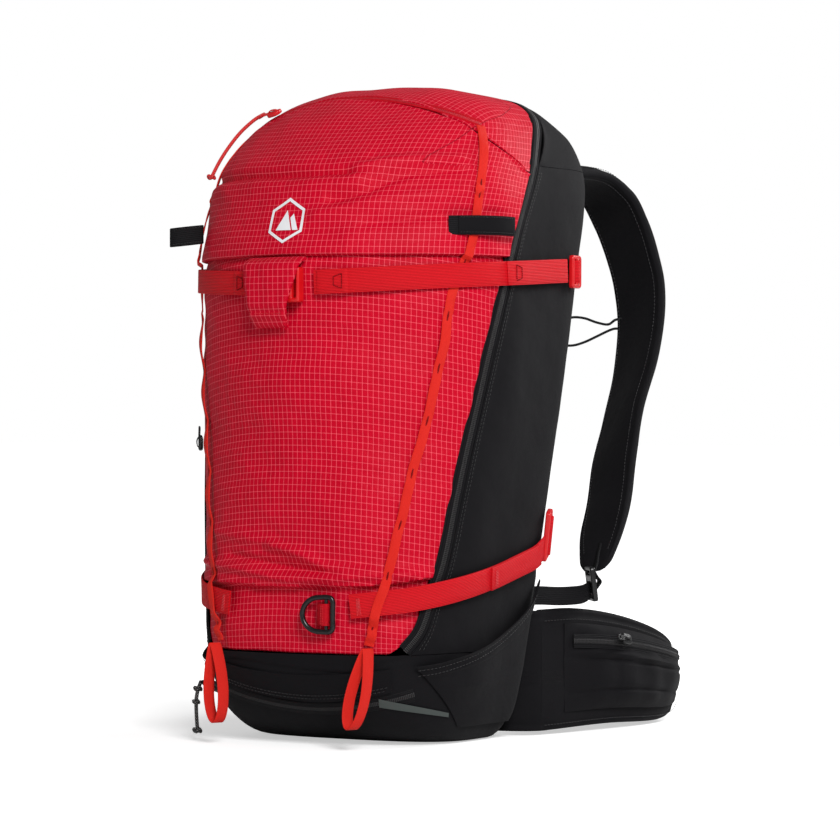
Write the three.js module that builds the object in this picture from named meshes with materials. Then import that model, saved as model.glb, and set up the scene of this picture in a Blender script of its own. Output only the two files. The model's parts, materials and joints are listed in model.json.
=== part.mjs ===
// Ski backpack: sewn panels, straps, buckles, zip sliders and carrying system as separate solids.
// Millimetres. X to the right seen from the front, Y towards the wearer, Z up.
// The origin is on the ground under the bag, in the middle of its width.
import * as THREE from 'three';

// ---- driving dimensions -------------------------------------------------------------------------
const BAG_HEIGHT = 555;
const FRONT_Y = -110;             // the front's furthest line, between the base and the dome
const FRONT_DEPTH = 130;          // from the front to the widest line
const CREST_Y = 62;               // where the dome's top lies
const BASE_ROUND = 85;            // height over which the base turns in
const BASE_UNDERCUT = 92;         // how far the front turns in at the ground
const DOME_FRONT_Z = 385;         // heights from which the front, sides and back turn in
const DOME_SIDE_Z = 410;
const DOME_BACK_Z = 462;
const BACK_SQUARE = 7;            // how square the back corners are
const SEAM_Z = 77;                // between the base panel and the panels above it
const POCKET_Z = 403;             // lower edge of the upper pocket
const CROWN_Z = 483;              // where the side panels end and the top back panel starts
const FABRIC = 2;
const GAP = 0.4;                  // between pieces that touch
const ZIP_WIDTH = 10;
const WEB = 20;                   // compression straps and shoulder webs
const WEB_THICK = 1.5;
const CHAIN_WIDTH = 8;
const BELT_WEB = 25;
const CORD = 2.4;
const ARC_END = 72;               // the top pocket zip ends at this angle on both sides

// half width, back line and front fullness of the bag over its height
const HALF_WIDTH = [[0, 116], [60, 119], [100, 124], [150, 133], [210, 141], [280, 147], [360, 149.5],
  [420, 149], [555, 149]];
const BACK_LINE = [[0, 72], [40, 82], [90, 95], [140, 95], [200, 96], [250, 104], [320, 119], [400, 142],
  [480, 169], [555, 174]];
const FRONT_FULL = [[0, 3.2], [86, 3], [136, 2.6], [196, 2.25], [270, 2], [555, 2]];
// angle round the bag of the main zip, and of the daisy chains, over the height
const ZIP_LINE = [[72, 38], [82, 43.8], [98, 48.8], [122, 52.3], [154, 56.8], [204, 61.3], [270, 67.8],
  [334, 74.3], [403, 82.8], [439, 87.8], [461, 91.8], [483, 96.5], [506, 102.8], [525, 110]];
const CHAIN_LINE = [[78, 30.5], [106, 33], [134, 36.5], [168, 39.5], [196, 43], [240, 47], [270, 51],
  [310, 54.5], [368, 59], [406, 64.5], [438, 67], [463, 68.5], [485, 69], [512, 71]];
// plan of the main zip over the top, on the right half
const ZIP_CROWN = [[123, 90], [105, 110], [84, 119], [50, 123], [0, 124]];

// ---- materials ----------------------------------------------------------------------------------
const finish = (color, roughness, metalness = 0) =>
  new THREE.MeshStandardMaterial({ color, roughness, metalness });
const redRipstop = finish(0xc4102c, 0.6);
const blackNylon = finish(0x1b1a1f, 0.7);
const blackStretch = finish(0x17161a, 0.85);
const blackMesh = finish(0x141417, 0.9);
const redWebbing = finish(0xc20f1e, 0.6);
const orangeWebbing = finish(0xdd3326, 0.6);
const blackWebbing = finish(0x151518, 0.7);
const redPlastic = finish(0xcc1422, 0.35);
const blackPlastic = finish(0x101012, 0.3);
const redCord = finish(0xd2232a, 0.6);
const blackCord = finish(0x1c1c20, 0.6);
const blackZip = finish(0x1a1a1e, 0.6);
const frameSheet = finish(0x2a2c30, 0.5);

// ---- small helpers ------------------------------------------------------------------------------
const bag = new THREE.Group();
const RAD = Math.PI / 180;
const lerp = (a, b, t) => a + (b - a) * t;
const clamp01 = (t) => Math.min(1, Math.max(0, t));
const vec = (x, y, z) => new THREE.Vector3(x, y, z);
const roundOff = (t, n) => (Math.max(0, 1 - clamp01(t) ** n)) ** (1 / n);

// smooth value of a table [[x, y], ...] at x
function profile(table, x) {
  const last = table.length - 1;
  let i = 0;
  while (i < last - 1 && x > table[i + 1][0]) i += 1;
  const slope = (k) => {
    const a = table[Math.max(0, k - 1)];
    const b = table[Math.min(last, k + 1)];
    return (b[1] - a[1]) / (b[0] - a[0]);
  };
  const [x0, y0] = table[i];
  const [x1, y1] = table[i + 1];
  const h = x1 - x0;
  const t = clamp01((x - x0) / h);
  const s = t * t * (3 - 2 * t);
  return lerp(y0, y1, s) + h * t * (1 - t) * ((1 - t) * slope(i) - t * slope(i + 1));
}

// ---- the bag's outer surface --------------------------------------------------------------------
// One ring at each height: half an ellipse or fuller at the front, half a rounded rectangle at the back.
// The angle is 0 at the front, 90 at the widest line on +X and 180 in the middle of the back.
function ring(z) {
  const low = (BASE_ROUND - z) / BASE_ROUND;
  const back0 = profile(BACK_LINE, z);
  const share = FRONT_DEPTH / (back0 - FRONT_Y);
  const a = profile(HALF_WIDTH, z) * roundOff((z - DOME_SIDE_Z) / (BAG_HEIGHT - DOME_SIDE_Z), 2.8)
    * lerp(0.8, 1, roundOff(low, 2.5));
  const front = CREST_Y - (CREST_Y - FRONT_Y) * roundOff((z - DOME_FRONT_Z) / (BAG_HEIGHT - DOME_FRONT_Z), 2)
    + BASE_UNDERCUT * (1 - roundOff(low, 2));
  const back = CREST_Y + (back0 - CREST_Y) * roundOff((z - DOME_BACK_Z) / (BAG_HEIGHT - DOME_BACK_Z), 2.6)
    - 12 * (1 - roundOff((40 - z) / 40, 2));
  return { a, front, back, mid: lerp(front, back, share), full: profile(FRONT_FULL, z) };
}

function surface(z, angle) {
  const { a, front, back, mid, full } = ring(z);
  const s = Math.sin(angle * RAD);
  const c = Math.cos(angle * RAD);
  const n = c > 0 ? full : BACK_SQUARE;
  const depth = Math.max(0.01, c > 0 ? mid - front : back - mid);
  const r = (Math.abs(s / Math.max(a, 0.01)) ** n + Math.abs(c / depth) ** n) ** (-1 / n);
  return vec(r * s * (c > 0 ? 1 : 1 - 0.03 * c), mid - r * c, z);
}

function outward(z, angle) {
  const up = surface(Math.min(z + 1, BAG_HEIGHT - 0.2), angle).sub(surface(Math.max(z - 1, 0), angle));
  const round = surface(z, Math.min(angle + 0.8, 180)).sub(surface(z, Math.max(angle - 0.8, -180)));
  return round.cross(up).normalize();
}

// point at a distance outside the surface
const skin = (z, angle, off = 0) => surface(z, angle).addScaledVector(outward(z, angle), off);

// the angle round the bag of a point on or near its surface
const angleOf = (p) => Math.atan2(p.x, ring(p.z).mid - p.y) / RAD;
const normalAt = (p) => outward(p.z, angleOf(p));

// height of the dome over a point of the plan
function domeHeight(x, y) {
  let low = DOME_FRONT_Z;
  let high = BAG_HEIGHT;
  for (let i = 0; i < 40; i += 1) {
    const z = (low + high) / 2;
    const inside = Math.hypot(x, y - ring(z).mid) < surface(z, angleOf(vec(x, y, z))).sub(vec(0, ring(z).mid, z)).length();
    if (inside) low = z; else high = z;
  }
  return low;
}

function domePoint(x, y, off) {
  const at = (px, py) => vec(px, py, domeHeight(px, py));
  const p = at(x, y);
  const n = at(x + 1, y).sub(at(x - 1, y)).cross(at(x, y + 1).sub(at(x, y - 1))).normalize();
  return p.addScaledVector(n, off);
}

// ---- solid builders -----------------------------------------------------------------------------
function solid(name, material, points, faces) {
  const geometry = new THREE.BufferGeometry();
  geometry.setAttribute('position', new THREE.Float32BufferAttribute(points.flatMap((p) => p.toArray()), 3));
  geometry.setIndex(faces.flat());
  geometry.computeVertexNormals();
  const mesh = new THREE.Mesh(geometry, material);
  mesh.name = name;
  bag.add(mesh);
  return mesh;
}

// the same solid on the other side of the bag
function mirrored(mesh, name) {
  const geometry = mesh.geometry.clone();
  const position = geometry.getAttribute('position');
  for (let i = 0; i < position.count; i += 1) position.setX(i, -position.getX(i));
  const index = geometry.getIndex();
  if (index) {
    for (let i = 0; i < index.count; i += 3) {
      const b = index.getX(i + 1);
      index.setX(i + 1, index.getX(i + 2));
      index.setX(i + 2, b);
    }
  }
  geometry.computeVertexNormals();
  const copy = new THREE.Mesh(geometry, mesh.material);
  copy.name = name;
  bag.add(copy);
  return copy;
}

// rows of points, closed into a tube of quads with flat ends, or into a ring
function sweep(name, material, rows, closed = false) {
  const n = rows[0].length;
  const faces = [];
  const at = (i, j) => (i % rows.length) * n + (j % n);
  const steps = closed ? rows.length : rows.length - 1;
  for (let i = 0; i < steps; i += 1) {
    for (let j = 0; j < n; j += 1) {
      faces.push([at(i, j), at(i, j + 1), at(i + 1, j + 1)], [at(i, j), at(i + 1, j + 1), at(i + 1, j)]);
    }
  }
  if (!closed) {
    const end = (rows.length - 1) * n;
    for (let j = 1; j < n - 1; j += 1) {
      faces.push([0, j + 1, j], [end, end + j, end + j + 1]);
    }
  }
  return solid(name, material, rows.flat(), faces);
}

// thin shell over a patch: place(u, v, off) gives a point at a distance outside the patch
function shell(name, material, place, nu, nv, inner, outer) {
  const points = [];
  const at = (layer, i, j) => layer * (nu + 1) * (nv + 1) + j * (nu + 1) + i;
  for (const off of [inner, outer]) {
    for (let j = 0; j <= nv; j += 1) {
      for (let i = 0; i <= nu; i += 1) points.push(place(i / nu, j / nv, off));
    }
  }
  const faces = [];
  const quad = (a, b, c, d) => faces.push([a, b, c], [a, c, d]);
  for (let j = 0; j < nv; j += 1) {
    for (let i = 0; i < nu; i += 1) {
      quad(at(1, i, j), at(1, i + 1, j), at(1, i + 1, j + 1), at(1, i, j + 1));
      quad(at(0, i, j), at(0, i, j + 1), at(0, i + 1, j + 1), at(0, i + 1, j));
    }
  }
  for (let i = 0; i < nu; i += 1) {
    quad(at(0, i, 0), at(0, i + 1, 0), at(1, i + 1, 0), at(1, i, 0));
    quad(at(0, i + 1, nv), at(0, i, nv), at(1, i, nv), at(1, i + 1, nv));
  }
  for (let j = 0; j < nv; j += 1) {
    quad(at(0, 0, j + 1), at(0, 0, j), at(1, 0, j), at(1, 0, j + 1));
    quad(at(0, nu, j), at(0, nu, j + 1), at(1, nu, j + 1), at(1, nu, j));
  }
  return solid(name, material, points, faces);
}

// flat tape along stations { p, n }: p on its middle line, n out of its face
function tape(name, material, stations, width, thick, closed = false) {
  const count = stations.length;
  const rows = stations.map(({ p, n, w }, i) => {
    const next = stations[closed ? (i + 1) % count : Math.min(i + 1, count - 1)].p;
    const before = stations[closed ? (i + count - 1) % count : Math.max(i - 1, 0)].p;
    const along = next.clone().sub(before).normalize();
    const across = w ? w.clone() : n.clone().cross(along).normalize();
    const face = along.clone().cross(across).normalize();
    const corner = (s, t) => p.clone().addScaledVector(across, s * width / 2).addScaledVector(face, t * thick / 2);
    return [corner(-1, -1), corner(1, -1), corner(1, 1), corner(-1, 1)];
  });
  return sweep(name, material, rows, closed);
}

// stations on the bag's surface along hand-set marks [z, angle, off]
function onSkin(marks, steps) {
  const curve = new THREE.CatmullRomCurve3(marks.map(([z, angle, off]) => vec(z, angle, off)), false, 'centripetal');
  return Array.from({ length: steps + 1 }, (_, i) => {
    const m = curve.getPoint(i / steps);
    return { p: skin(m.x, m.y, m.z), n: outward(m.x, m.y) };
  });
}

// round cord through points, with a constant radius
function cord(name, material, points, radius, sides = 6, closed = false, steps = 24) {
  const curve = new THREE.CatmullRomCurve3(points, closed, 'centripetal');
  const frames = curve.computeFrenetFrames(steps, closed);
  const rows = [];
  for (let i = 0; i < (closed ? steps : steps + 1); i += 1) {
    const p = curve.getPointAt(i / steps);
    rows.push(Array.from({ length: sides }, (_, j) => {
      const t = 2 * Math.PI * j / sides;
      return p.clone().addScaledVector(frames.normals[i], Math.cos(t) * radius)
        .addScaledVector(frames.binormals[i], Math.sin(t) * radius);
    }));
  }
  return sweep(name, material, rows, closed);
}

// flat part cut from an outline [[x, y], ...], with holes, put in a frame of origin, x and y axes
function plate(name, material, outline, holes, thick, origin, xAxis, yAxis) {
  const shape = new THREE.Shape(outline.map(([x, y]) => new THREE.Vector2(x, y)));
  for (const hole of holes) shape.holes.push(new THREE.Path(hole.map(([x, y]) => new THREE.Vector2(x, y))));
  const geometry = new THREE.ExtrudeGeometry(shape, { depth: thick, bevelEnabled: false, curveSegments: 6 });
  const x = xAxis.clone().normalize();
  const z = x.clone().cross(yAxis).normalize();
  const y = z.clone().cross(x);
  geometry.applyMatrix4(new THREE.Matrix4().makeBasis(x, y, z).setPosition(origin));
  const position = geometry.getAttribute('position');
  const points = Array.from({ length: position.count }, (_, i) => new THREE.Vector3().fromBufferAttribute(position, i));
  const faces = Array.from({ length: position.count / 3 }, (_, i) => [3 * i, 3 * i + 1, 3 * i + 2]);
  return solid(name, material, points, faces);
}

const rect = (x0, y0, x1, y1) => [[x0, y0], [x1, y0], [x1, y1], [x0, y1]];

// ---- bag panels ---------------------------------------------------------------------------------
const zipAngle = (z) => profile(ZIP_LINE, z);
const chainAngle = (z) => profile(CHAIN_LINE, z);
const BESIDE = ZIP_WIDTH / 2 + GAP + 0.8;
// the seam between the side panels and the back panel, on the bag's back corners
const cornerAngle = (z) => 92 + Math.atan2(ring(z).back - ring(z).mid, ring(z).a) / RAD;

// angle at which a panel stops beside the zip, measured along the ring
function besideZip(z, side) {
  const angle = zipAngle(z);
  const perDegree = surface(z, angle + 1).distanceTo(surface(z, angle - 1)) / 2;
  const lean = surface(z + 4, zipAngle(z + 4)).distanceTo(surface(z - 4, zipAngle(z - 4))) / 8;
  const spare = z < 115 ? 0.9 : 0;
  return angle + side * (BESIDE + spare) * lean / perDegree;
}

// main zip's middle line over the top, from 1 on the right to -1 on the left
const crownCurve = new THREE.CatmullRomCurve3([
  surface(CROWN_Z - 12, zipAngle(CROWN_Z - 12)),
  surface(CROWN_Z, zipAngle(CROWN_Z)),
  ...ZIP_CROWN.map(([x, y]) => vec(x, y, domeHeight(x, y))),
  ...ZIP_CROWN.slice(0, -1).reverse().map(([x, y]) => vec(-x, y, domeHeight(x, y))),
  surface(CROWN_Z, -zipAngle(CROWN_Z)),
  surface(CROWN_Z - 12, -zipAngle(CROWN_Z - 12)),
], false, 'centripetal');
function crownEdge(s, side) {
  const t = (1 - s) / 2;
  const p = crownCurve.getPointAt(t);
  const across = normalAt(p).cross(crownCurve.getTangentAt(t)).normalize();
  return p.addScaledVector(across, side * BESIDE);
}

function frontPanel(name, z0, z1, nu, nv) {
  shell(name, redRipstop, (u, v, off) => {
    const z = lerp(z0 + GAP, z1 - GAP, v);
    return skin(z, lerp(-1, 1, u) * besideZip(z, -1), off);
  }, nu, nv, -FABRIC, 0);
}
frontPanel('front_panel', SEAM_Z, POCKET_Z, 12, 11);

// the top pocket's zip lies along this arch, where the upper pocket and the top panel meet
const SIDE_JOIN_Z = CROWN_Z - 8;
const archHeight = (angle) => 541 - 25 * (Math.abs(angle) / ARC_END) ** 2.6;
function upperPocket(u, v) {
  const s = lerp(-1, 1, u);
  const zSide = lerp(POCKET_Z + GAP, SIDE_JOIN_Z, v);
  const angle = s * besideZip(zSide, -1);
  const zMiddle = lerp(POCKET_Z + GAP, archHeight(angle) - GAP, v);
  return [lerp(zMiddle, Math.min(zMiddle, zSide), Math.abs(s) ** 5), angle];
}
shell('upper_pocket_panel', redRipstop, (u, v, off) => skin(...upperPocket(u, v), off), 16, 6, -FABRIC, 0);

shell('top_panel', redRipstop, (u, v, off) => {
  const s = lerp(-0.92, 0.92, u);
  const [z, angle] = upperPocket((s + 1) / 2, 1);
  const fore = surface(z + 6 * GAP, angle);
  const aft = crownEdge(s, 1);
  return domePoint(lerp(fore.x, aft.x, v), lerp(fore.y, aft.y, v), off);
}, 14, 5, -FABRIC, 0);

shell('top_back_panel', blackNylon, (u, v, off) => {
  const s = lerp(1, -1, u);
  const edge = besideZip(lerp(CROWN_Z + GAP, 523, v), 1) + 2.5 * v;
  const angle = lerp(180, edge, Math.abs(s));
  const crown = 523 + 17 * (1 - Math.abs(s) ** 3);
  return skin(lerp(CROWN_Z + GAP, crown, v), (s < 0 ? -1 : 1) * angle, off);
}, 12, 3, -FABRIC, 0);

function basePanel() {
  const sides = 24;
  const loop = (place) => Array.from({ length: sides }, (_, j) => place(180 - j * 360 / sides));
  const floor = (z, size) => loop((angle) => {
    const p = surface(0, angle);
    return vec(p.x * size, ring(0).mid + (p.y - ring(0).mid) * size, z);
  });
  const wall = (z, off) => loop((angle) => skin(z, angle, off));
  const inner = [floor(FABRIC + 0.5, 0.97), ...[14, 30, 52, SEAM_Z - GAP].map((z) => wall(z, -FABRIC))];
  const outer = [...[SEAM_Z - GAP, 52, 30, 14, 4].map((z) => wall(z, 0)), floor(0, 1)];
  return sweep('base_panel', blackNylon, [...inner, ...outer]);
}
basePanel();

const sidePanel = shell('side_panel_right', blackNylon, (u, v, off) => {
  const z = lerp(SEAM_Z + GAP, CROWN_Z - GAP, v);
  return skin(z, lerp(besideZip(z, 1), cornerAngle(z) - 0.4, u), off);
}, 5, 13, -FABRIC, 0);
mirrored(sidePanel, 'side_panel_left');

shell('back_panel', blackMesh, (u, v, off) => {
  const z = lerp(SEAM_Z + GAP, CROWN_Z - GAP, v);
  const angle = lerp(cornerAngle(z) + 0.4, 360 - cornerAngle(z) - 0.4, u);
  return skin(z, angle > 180 ? angle - 360 : angle, off);
}, 8, 9, -FABRIC, 0);

// main zip: one tape up the right side, over the top and down the left side
function zipTape() {
  const zs = Array.from({ length: 22 }, (_, i) => lerp(SEAM_Z + 3.5, CROWN_Z - 16, i / 21));
  const side = zs.map((z) => surface(z, zipAngle(z)));
  const crown = Array.from({ length: 23 }, (_, i) => crownCurve.getPointAt(lerp(0.02, 0.98, i / 22)));
  const line = [...side, ...crown, ...side.map((p) => vec(-p.x, p.y, p.z)).reverse()];
  const stations = line.map((p) => ({ n: normalAt(p), p: p.clone().addScaledVector(normalAt(p), -FABRIC / 2) }));
  return tape('main_zip', blackZip, stations, ZIP_WIDTH, FABRIC);
}
zipTape();

// ---- side pockets -------------------------------------------------------------------------------
const POCKET_BULGE = 9;
const HEM_LINE = [[46, 68], [56, 72], [78, 86], [99, 104], [109, 118], [115, 138]];
const sidePocket = shell('side_pocket_right', blackStretch, (u, v, off) => {
  const angle = lerp(lerp(66, 46, v), 114, u);
  const z = lerp(15, profile(HEM_LINE, angle), v);
  const bulge = POCKET_BULGE * Math.sin(u * Math.PI) ** 0.7 * v ** 0.6;
  return skin(z, angle, 0.9 + bulge + off);
}, 10, 5, 0, 1.4);
mirrored(sidePocket, 'side_pocket_left');

// ---- base pocket --------------------------------------------------------------------------------
const baseZipHeight = (angle) => 31 + 15 * (Math.abs(angle - 6) / 42) ** 2;
shell('base_pocket_flap', blackNylon, (u, v, off) => {
  const angle = lerp(-31, 38, u);
  return skin(lerp(baseZipHeight(angle) + 8, 60 + 7 * (Math.abs(angle - 5) / 35) ** 2, v), angle, off);
}, 12, 2, 1.2, 2.6);

// ---- compression straps -------------------------------------------------------------------------
const LOCK_ANGLE = 118;
const strapHeight = (angle) => 381 + 14 * (Math.abs(angle) / 112) ** 1.3;
const upperStrap = tape('upper_strap_right', redWebbing, Array.from({ length: 21 }, (_, i) => {
  const angle = lerp(12.5, LOCK_ANGLE - 4.5, i / 20);
  return { p: skin(strapHeight(angle), angle, 3.8), n: outward(strapHeight(angle), angle) };
}), WEB, WEB_THICK);
mirrored(upperStrap, 'upper_strap_left');

const lowerStrap = tape('lower_strap_right', redWebbing,
  onSkin([[117, 25, 3.8], [120, 36, 3.8], [124, 48, 3.8], [136, 73, 3.8], [148, 96, 3.8], [154, 106, 3.8]], 14),
  WEB, WEB_THICK);
mirrored(lowerStrap, 'lower_strap_left');

// local frame on the bag's surface: along the ring, up and out
function skinFrame(z, angle, off) {
  const out = outward(z, angle);
  const along = surface(z, angle + 1).sub(surface(z, angle - 1)).normalize();
  return { origin: skin(z, angle, off), along, up: out.clone().cross(along).normalize(), out };
}

// ladder lock at the back end of a strap: a frame with a web slot each side of its middle bar
function ladderLock(name, material, frame, tilt, width, height) {
  const { origin, along, out } = frame;
  const turn = new THREE.Quaternion().setFromAxisAngle(out, tilt * RAD);
  const x = along.clone().applyQuaternion(turn);
  const y = frame.up.clone().applyQuaternion(turn);
  const w = width / 2;
  const h = height / 2;
  const outline = [[-w, -h + 3], [-w + 3, -h], [w - 3, -h], [w, -h + 3], [w, h - 3], [w - 3, h], [-w + 3, h], [-w, h - 3]];
  const slots = [rect(3.6 - w, 3.6 - h, -1.8, h - 3.6), rect(1.8, 3.4 - h, w - 3.6, h - 3.4)];
  return plate(name, material, outline, slots, 4, origin, x, y);
}
const upperLock = ladderLock('upper_lock_right', redPlastic, skinFrame(395, LOCK_ANGLE, 3), 0, 18, 28);
mirrored(upperLock, 'upper_lock_left');
const lowerLock = ladderLock('lower_buckle_right', redPlastic, skinFrame(172, 113.5, 3), 15, 16, 44);
mirrored(lowerLock, 'lower_buckle_left');

// front buckle: the socket on the right, the plug on the left, both under the flap
const BUCKLE_Y = FRONT_Y - 1.6;
const BUCKLE_Z = 380;
const BUCKLE_DEPTH = 9;
const buckleAt = (x) => vec(x, BUCKLE_Y, BUCKLE_Z);
plate('front_buckle_socket', redPlastic, [[0, -15], [19, -15], [21, -13], [21, 13], [19, 15], [0, 15]],
  [rect(14, -11, 17.6, 11)], BUCKLE_DEPTH, buckleAt(-4), vec(1, 0, 0), vec(0, 0, 1));
plate('front_buckle_plug', redPlastic, [[-21, -13], [-19, -15], [0, -15], [0, 15], [-19, 15], [-21, 13]],
  [rect(-17.6, -11, -14, 11)], BUCKLE_DEPTH, buckleAt(-4 - GAP), vec(1, 0, 0), vec(0, 0, 1));

// flap over the front buckle, hanging from the upper pocket's lower edge
const FLAP_LIFT = [[345, 6], [356, 11.5], [366, 13.5], [394, 13.5], [399, 10], [402, 5]];
shell('buckle_flap', redRipstop, (u, v, off) => {
  const z = lerp(345, 402, v);
  const angle = lerp(-15.5, lerp(3, 8, v), u);
  return skin(z, angle, profile(FLAP_LIFT, z) + off);
}, 4, 7, 0, 1.6);

// ---- daisy chains and gear loops ----------------------------------------------------------------
const chain = tape('daisy_chain_right', orangeWebbing, Array.from({ length: 25 }, (_, i) => {
  const z = lerp(86, 510, i / 24);
  return { p: skin(z, chainAngle(z), 1.6), n: outward(z, chainAngle(z)) };
}), CHAIN_WIDTH, 1.2);
mirrored(chain, 'daisy_chain_left');

// closed loop of web hanging from its sewn top, in a plane across the view from the front
function gearLoop(name, top, lean, length, spread) {
  const count = 18;
  const stations = Array.from({ length: count }, (_, i) => {
    const t = 2 * Math.PI * i / count;
    const down = (1 - Math.cos(t)) / 2;
    const side = Math.sin(t) * spread / 2 * (0.25 + 0.75 * down);
    const p = top.clone().addScaledVector(lean, length * down).add(vec(side, 0, 0));
    return { p, w: vec(0, 1, 0) };
  });
  return tape(name, orangeWebbing, stations, 10, 1.4, true);
}
const loopTop = skin(83, chainAngle(83), 7);
const gearRight = gearLoop('gear_loop_right', loopTop, vec(-0.14, -0.16, -1).normalize(), 66, 22);
mirrored(gearRight, 'gear_loop_left');

// ---- pole and axe bands -------------------------------------------------------------------------
const BAND_Z = 428;
const BAND_HEIGHT = 16;
tape('pole_band_right', blackWebbing,
  onSkin([[58, 1.8], [61, 3.6], [65, 6], [70, 8], [75, 9], [80.5, 8]].map(([a, off]) => [BAND_Z, a, off]), 12)
    .map(({ p, n }) => ({ p, n, w: vec(0, 0, 1) })), BAND_HEIGHT, 1.6);
// closed into a loop that stands out from the bag
function poleLoop() {
  const { origin, along, out } = skinFrame(BAND_Z, -59, 0);
  const half = [[-2, 3], [-4, 9], [-5, 17], [-4.6, 24], [-2.6, 29.5]];
  const outline = [...half, [0, 31.5], ...half.map(([x, y]) => [-x, y]).reverse()];
  const stations = outline.map(([x, y]) => ({
    p: origin.clone().addScaledVector(along, x).addScaledVector(out, y), w: vec(0, 0, 1),
  }));
  return tape('pole_band_left', blackWebbing, stations, BAND_HEIGHT, 1.6, true);
}
poleLoop();

// ---- D-ring in its tab --------------------------------------------------------------------------
const RING_Z = 110;
const RING_WIRE = 2;
const ringFrame = skinFrame(RING_Z, 19, 4);
const ringPoint = (x, y, off = 0) => ringFrame.origin.clone().addScaledVector(ringFrame.along, x)
  .addScaledVector(vec(0, 0, 1), y).addScaledVector(ringFrame.out, off);
function dRing() {
  const bow = Array.from({ length: 9 }, (_, i) => {
    const t = lerp(90, 270, i / 8) * RAD;
    return ringPoint(-12 + 15 * Math.cos(t), 14 * Math.sin(t));
  });
  const points = [ringPoint(0, -11), ringPoint(0, -4), ringPoint(0, 4), ringPoint(0, 11), ringPoint(-3, 14), ...bow,
    ringPoint(-3, -14)];
  cord('d_ring', blackPlastic, points, RING_WIRE, 8, true, 36);
}
dRing();
const tabLine = [[9, -2.6], [2, -3], [-2, -3], [-3.6, -1.6], [-3.8, 0.4], [-3, 2.6], [-1, 3.3], [4, 3.3], [9, 2.2]];
tape('d_ring_tab', redWebbing, tabLine.map(([x, off]) => ({ p: ringPoint(x, 0, off), w: vec(0, 0, 1) })), 18, 1.1);

// ---- small webbing on the bag -------------------------------------------------------------------
const haul = [[-32, 4], [-26, 9], [-12, 14], [12, 14], [26, 9], [32, 4]].map(([x, off]) => {
  const p = vec(x, ring(512).back + off, 512 + off * 0.6);
  return { p, w: vec(0, 0, 1) };
});
tape('haul_loop', blackWebbing, haul, 18, 1.8);

// ---- back: pads outside, frame sheet inside ----------------------------------------------------
function backPad(name, x0, x1, z0, z1, thick) {
  return shell(name, blackMesh, (u, v, off) => {
    const z = lerp(z0, z1, v);
    const x = lerp(x0, x1, u);
    const soft = (Math.sin(Math.PI * u) * Math.sin(Math.PI * v)) ** 0.35;
    const y = ring(z).back + 1.2 + (off > 0 ? 2 + (thick - 2) * soft : 0);
    return vec(x, y, z);
  }, 4, 6, 0, 1);
}
const padRight = backPad('back_pad_right', 88, 14, 150, 440, 14);
mirrored(padRight, 'back_pad_left');
backPad('lumbar_pad', 80, -80, 24, 138, 18);
shell('frame_sheet', frameSheet, (u, v, off) => {
  const z = lerp(84, 470, v);
  return vec(lerp(84, -84, u), ring(z).back - 8 + off, z);
}, 2, 10, 0, 1.6);

// ---- shoulder straps ----------------------------------------------------------------------------
// stations: x, y, z of the middle line, width, thickness and the turn of the face round the line
const STRAP_PATH = [
  [50, 172, 466, 62, 6, 0], [53, 200, 482, 64, 9, -2], [58, 240, 492, 66, 10, -4], [65, 280, 490, 66, 10, -7],
  [73, 308, 474, 66, 10, -12], [82, 322, 448, 65, 10, -16], [90, 329, 418, 64, 10, -19], [97, 330, 388, 63, 10, -21],
  [102, 322, 352, 62, 10, -25], [107, 300, 312, 60, 10, -28], [111, 270, 272, 58, 10, -30],
  [118, 240, 234, 56, 10, -24], [126, 216, 200, 53, 9, -20], [133, 190, 172, 48, 8, -12], [140, 166, 152, 36, 6, -4],
];
function padSection(p, along, turn, width, thick) {
  const side = vec(1, 0, 0).addScaledVector(along, -along.x).normalize();
  side.applyAxisAngle(along, turn * RAD);
  const face = along.clone().cross(side);
  return Array.from({ length: 8 }, (_, j) => {
    const t = Math.PI / 8 + j * Math.PI / 4;
    const c = Math.cos(t);
    const s = Math.sin(t);
    return p.clone().addScaledVector(side, Math.sign(c) * Math.abs(c) ** 0.35 * width / 2)
      .addScaledVector(face, Math.sign(s) * Math.abs(s) ** 0.8 * thick / 2);
  });
}
function shoulderStrap() {
  const line = STRAP_PATH.map(([x, y, z]) => vec(x, y, z));
  const rows = line.map((p, i) => {
    const along = line[Math.min(i + 1, line.length - 1)].clone().sub(line[Math.max(i - 1, 0)]).normalize();
    const [, , , width, thick, turn] = STRAP_PATH[i];
    return padSection(p, along, -turn, width, thick);
  });
  return sweep('shoulder_strap_right', blackMesh, rows);
}
mirrored(shoulderStrap(), 'shoulder_strap_left');

// ladder lock under the pad, and the web from it to the bag's lower corner
const lockX = vec(0.62, -0.78, 0).normalize();
const lockY = vec(-0.25, 0.12, 1).normalize();
const strapLock = plate('strap_lock_right', blackPlastic,
  [[-12, -15], [12, -15], [14, -12], [14, 12], [12, 15], [-12, 15], [-14, 12], [-14, -12]],
  [rect(-10.4, -11.6, 10.2, -8), rect(-10.2, -1.9, 10.4, 1.8), rect(-10.3, 7.6, 10.3, 11.4)], 4, vec(146, 149, 128), lockX, lockY);
mirrored(strapLock, 'strap_lock_left');
const strapWeb = tape('strap_web_right', blackWebbing, [[141, 139, 119], [136, 126, 119], [130, 113, 119], [124, 103, 119]]
  .map(([x, y, z]) => ({ p: vec(x, y, z), w: vec(0, 0, 1) })), 16, 1.6);
mirrored(strapWeb, 'strap_web_left');

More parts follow.
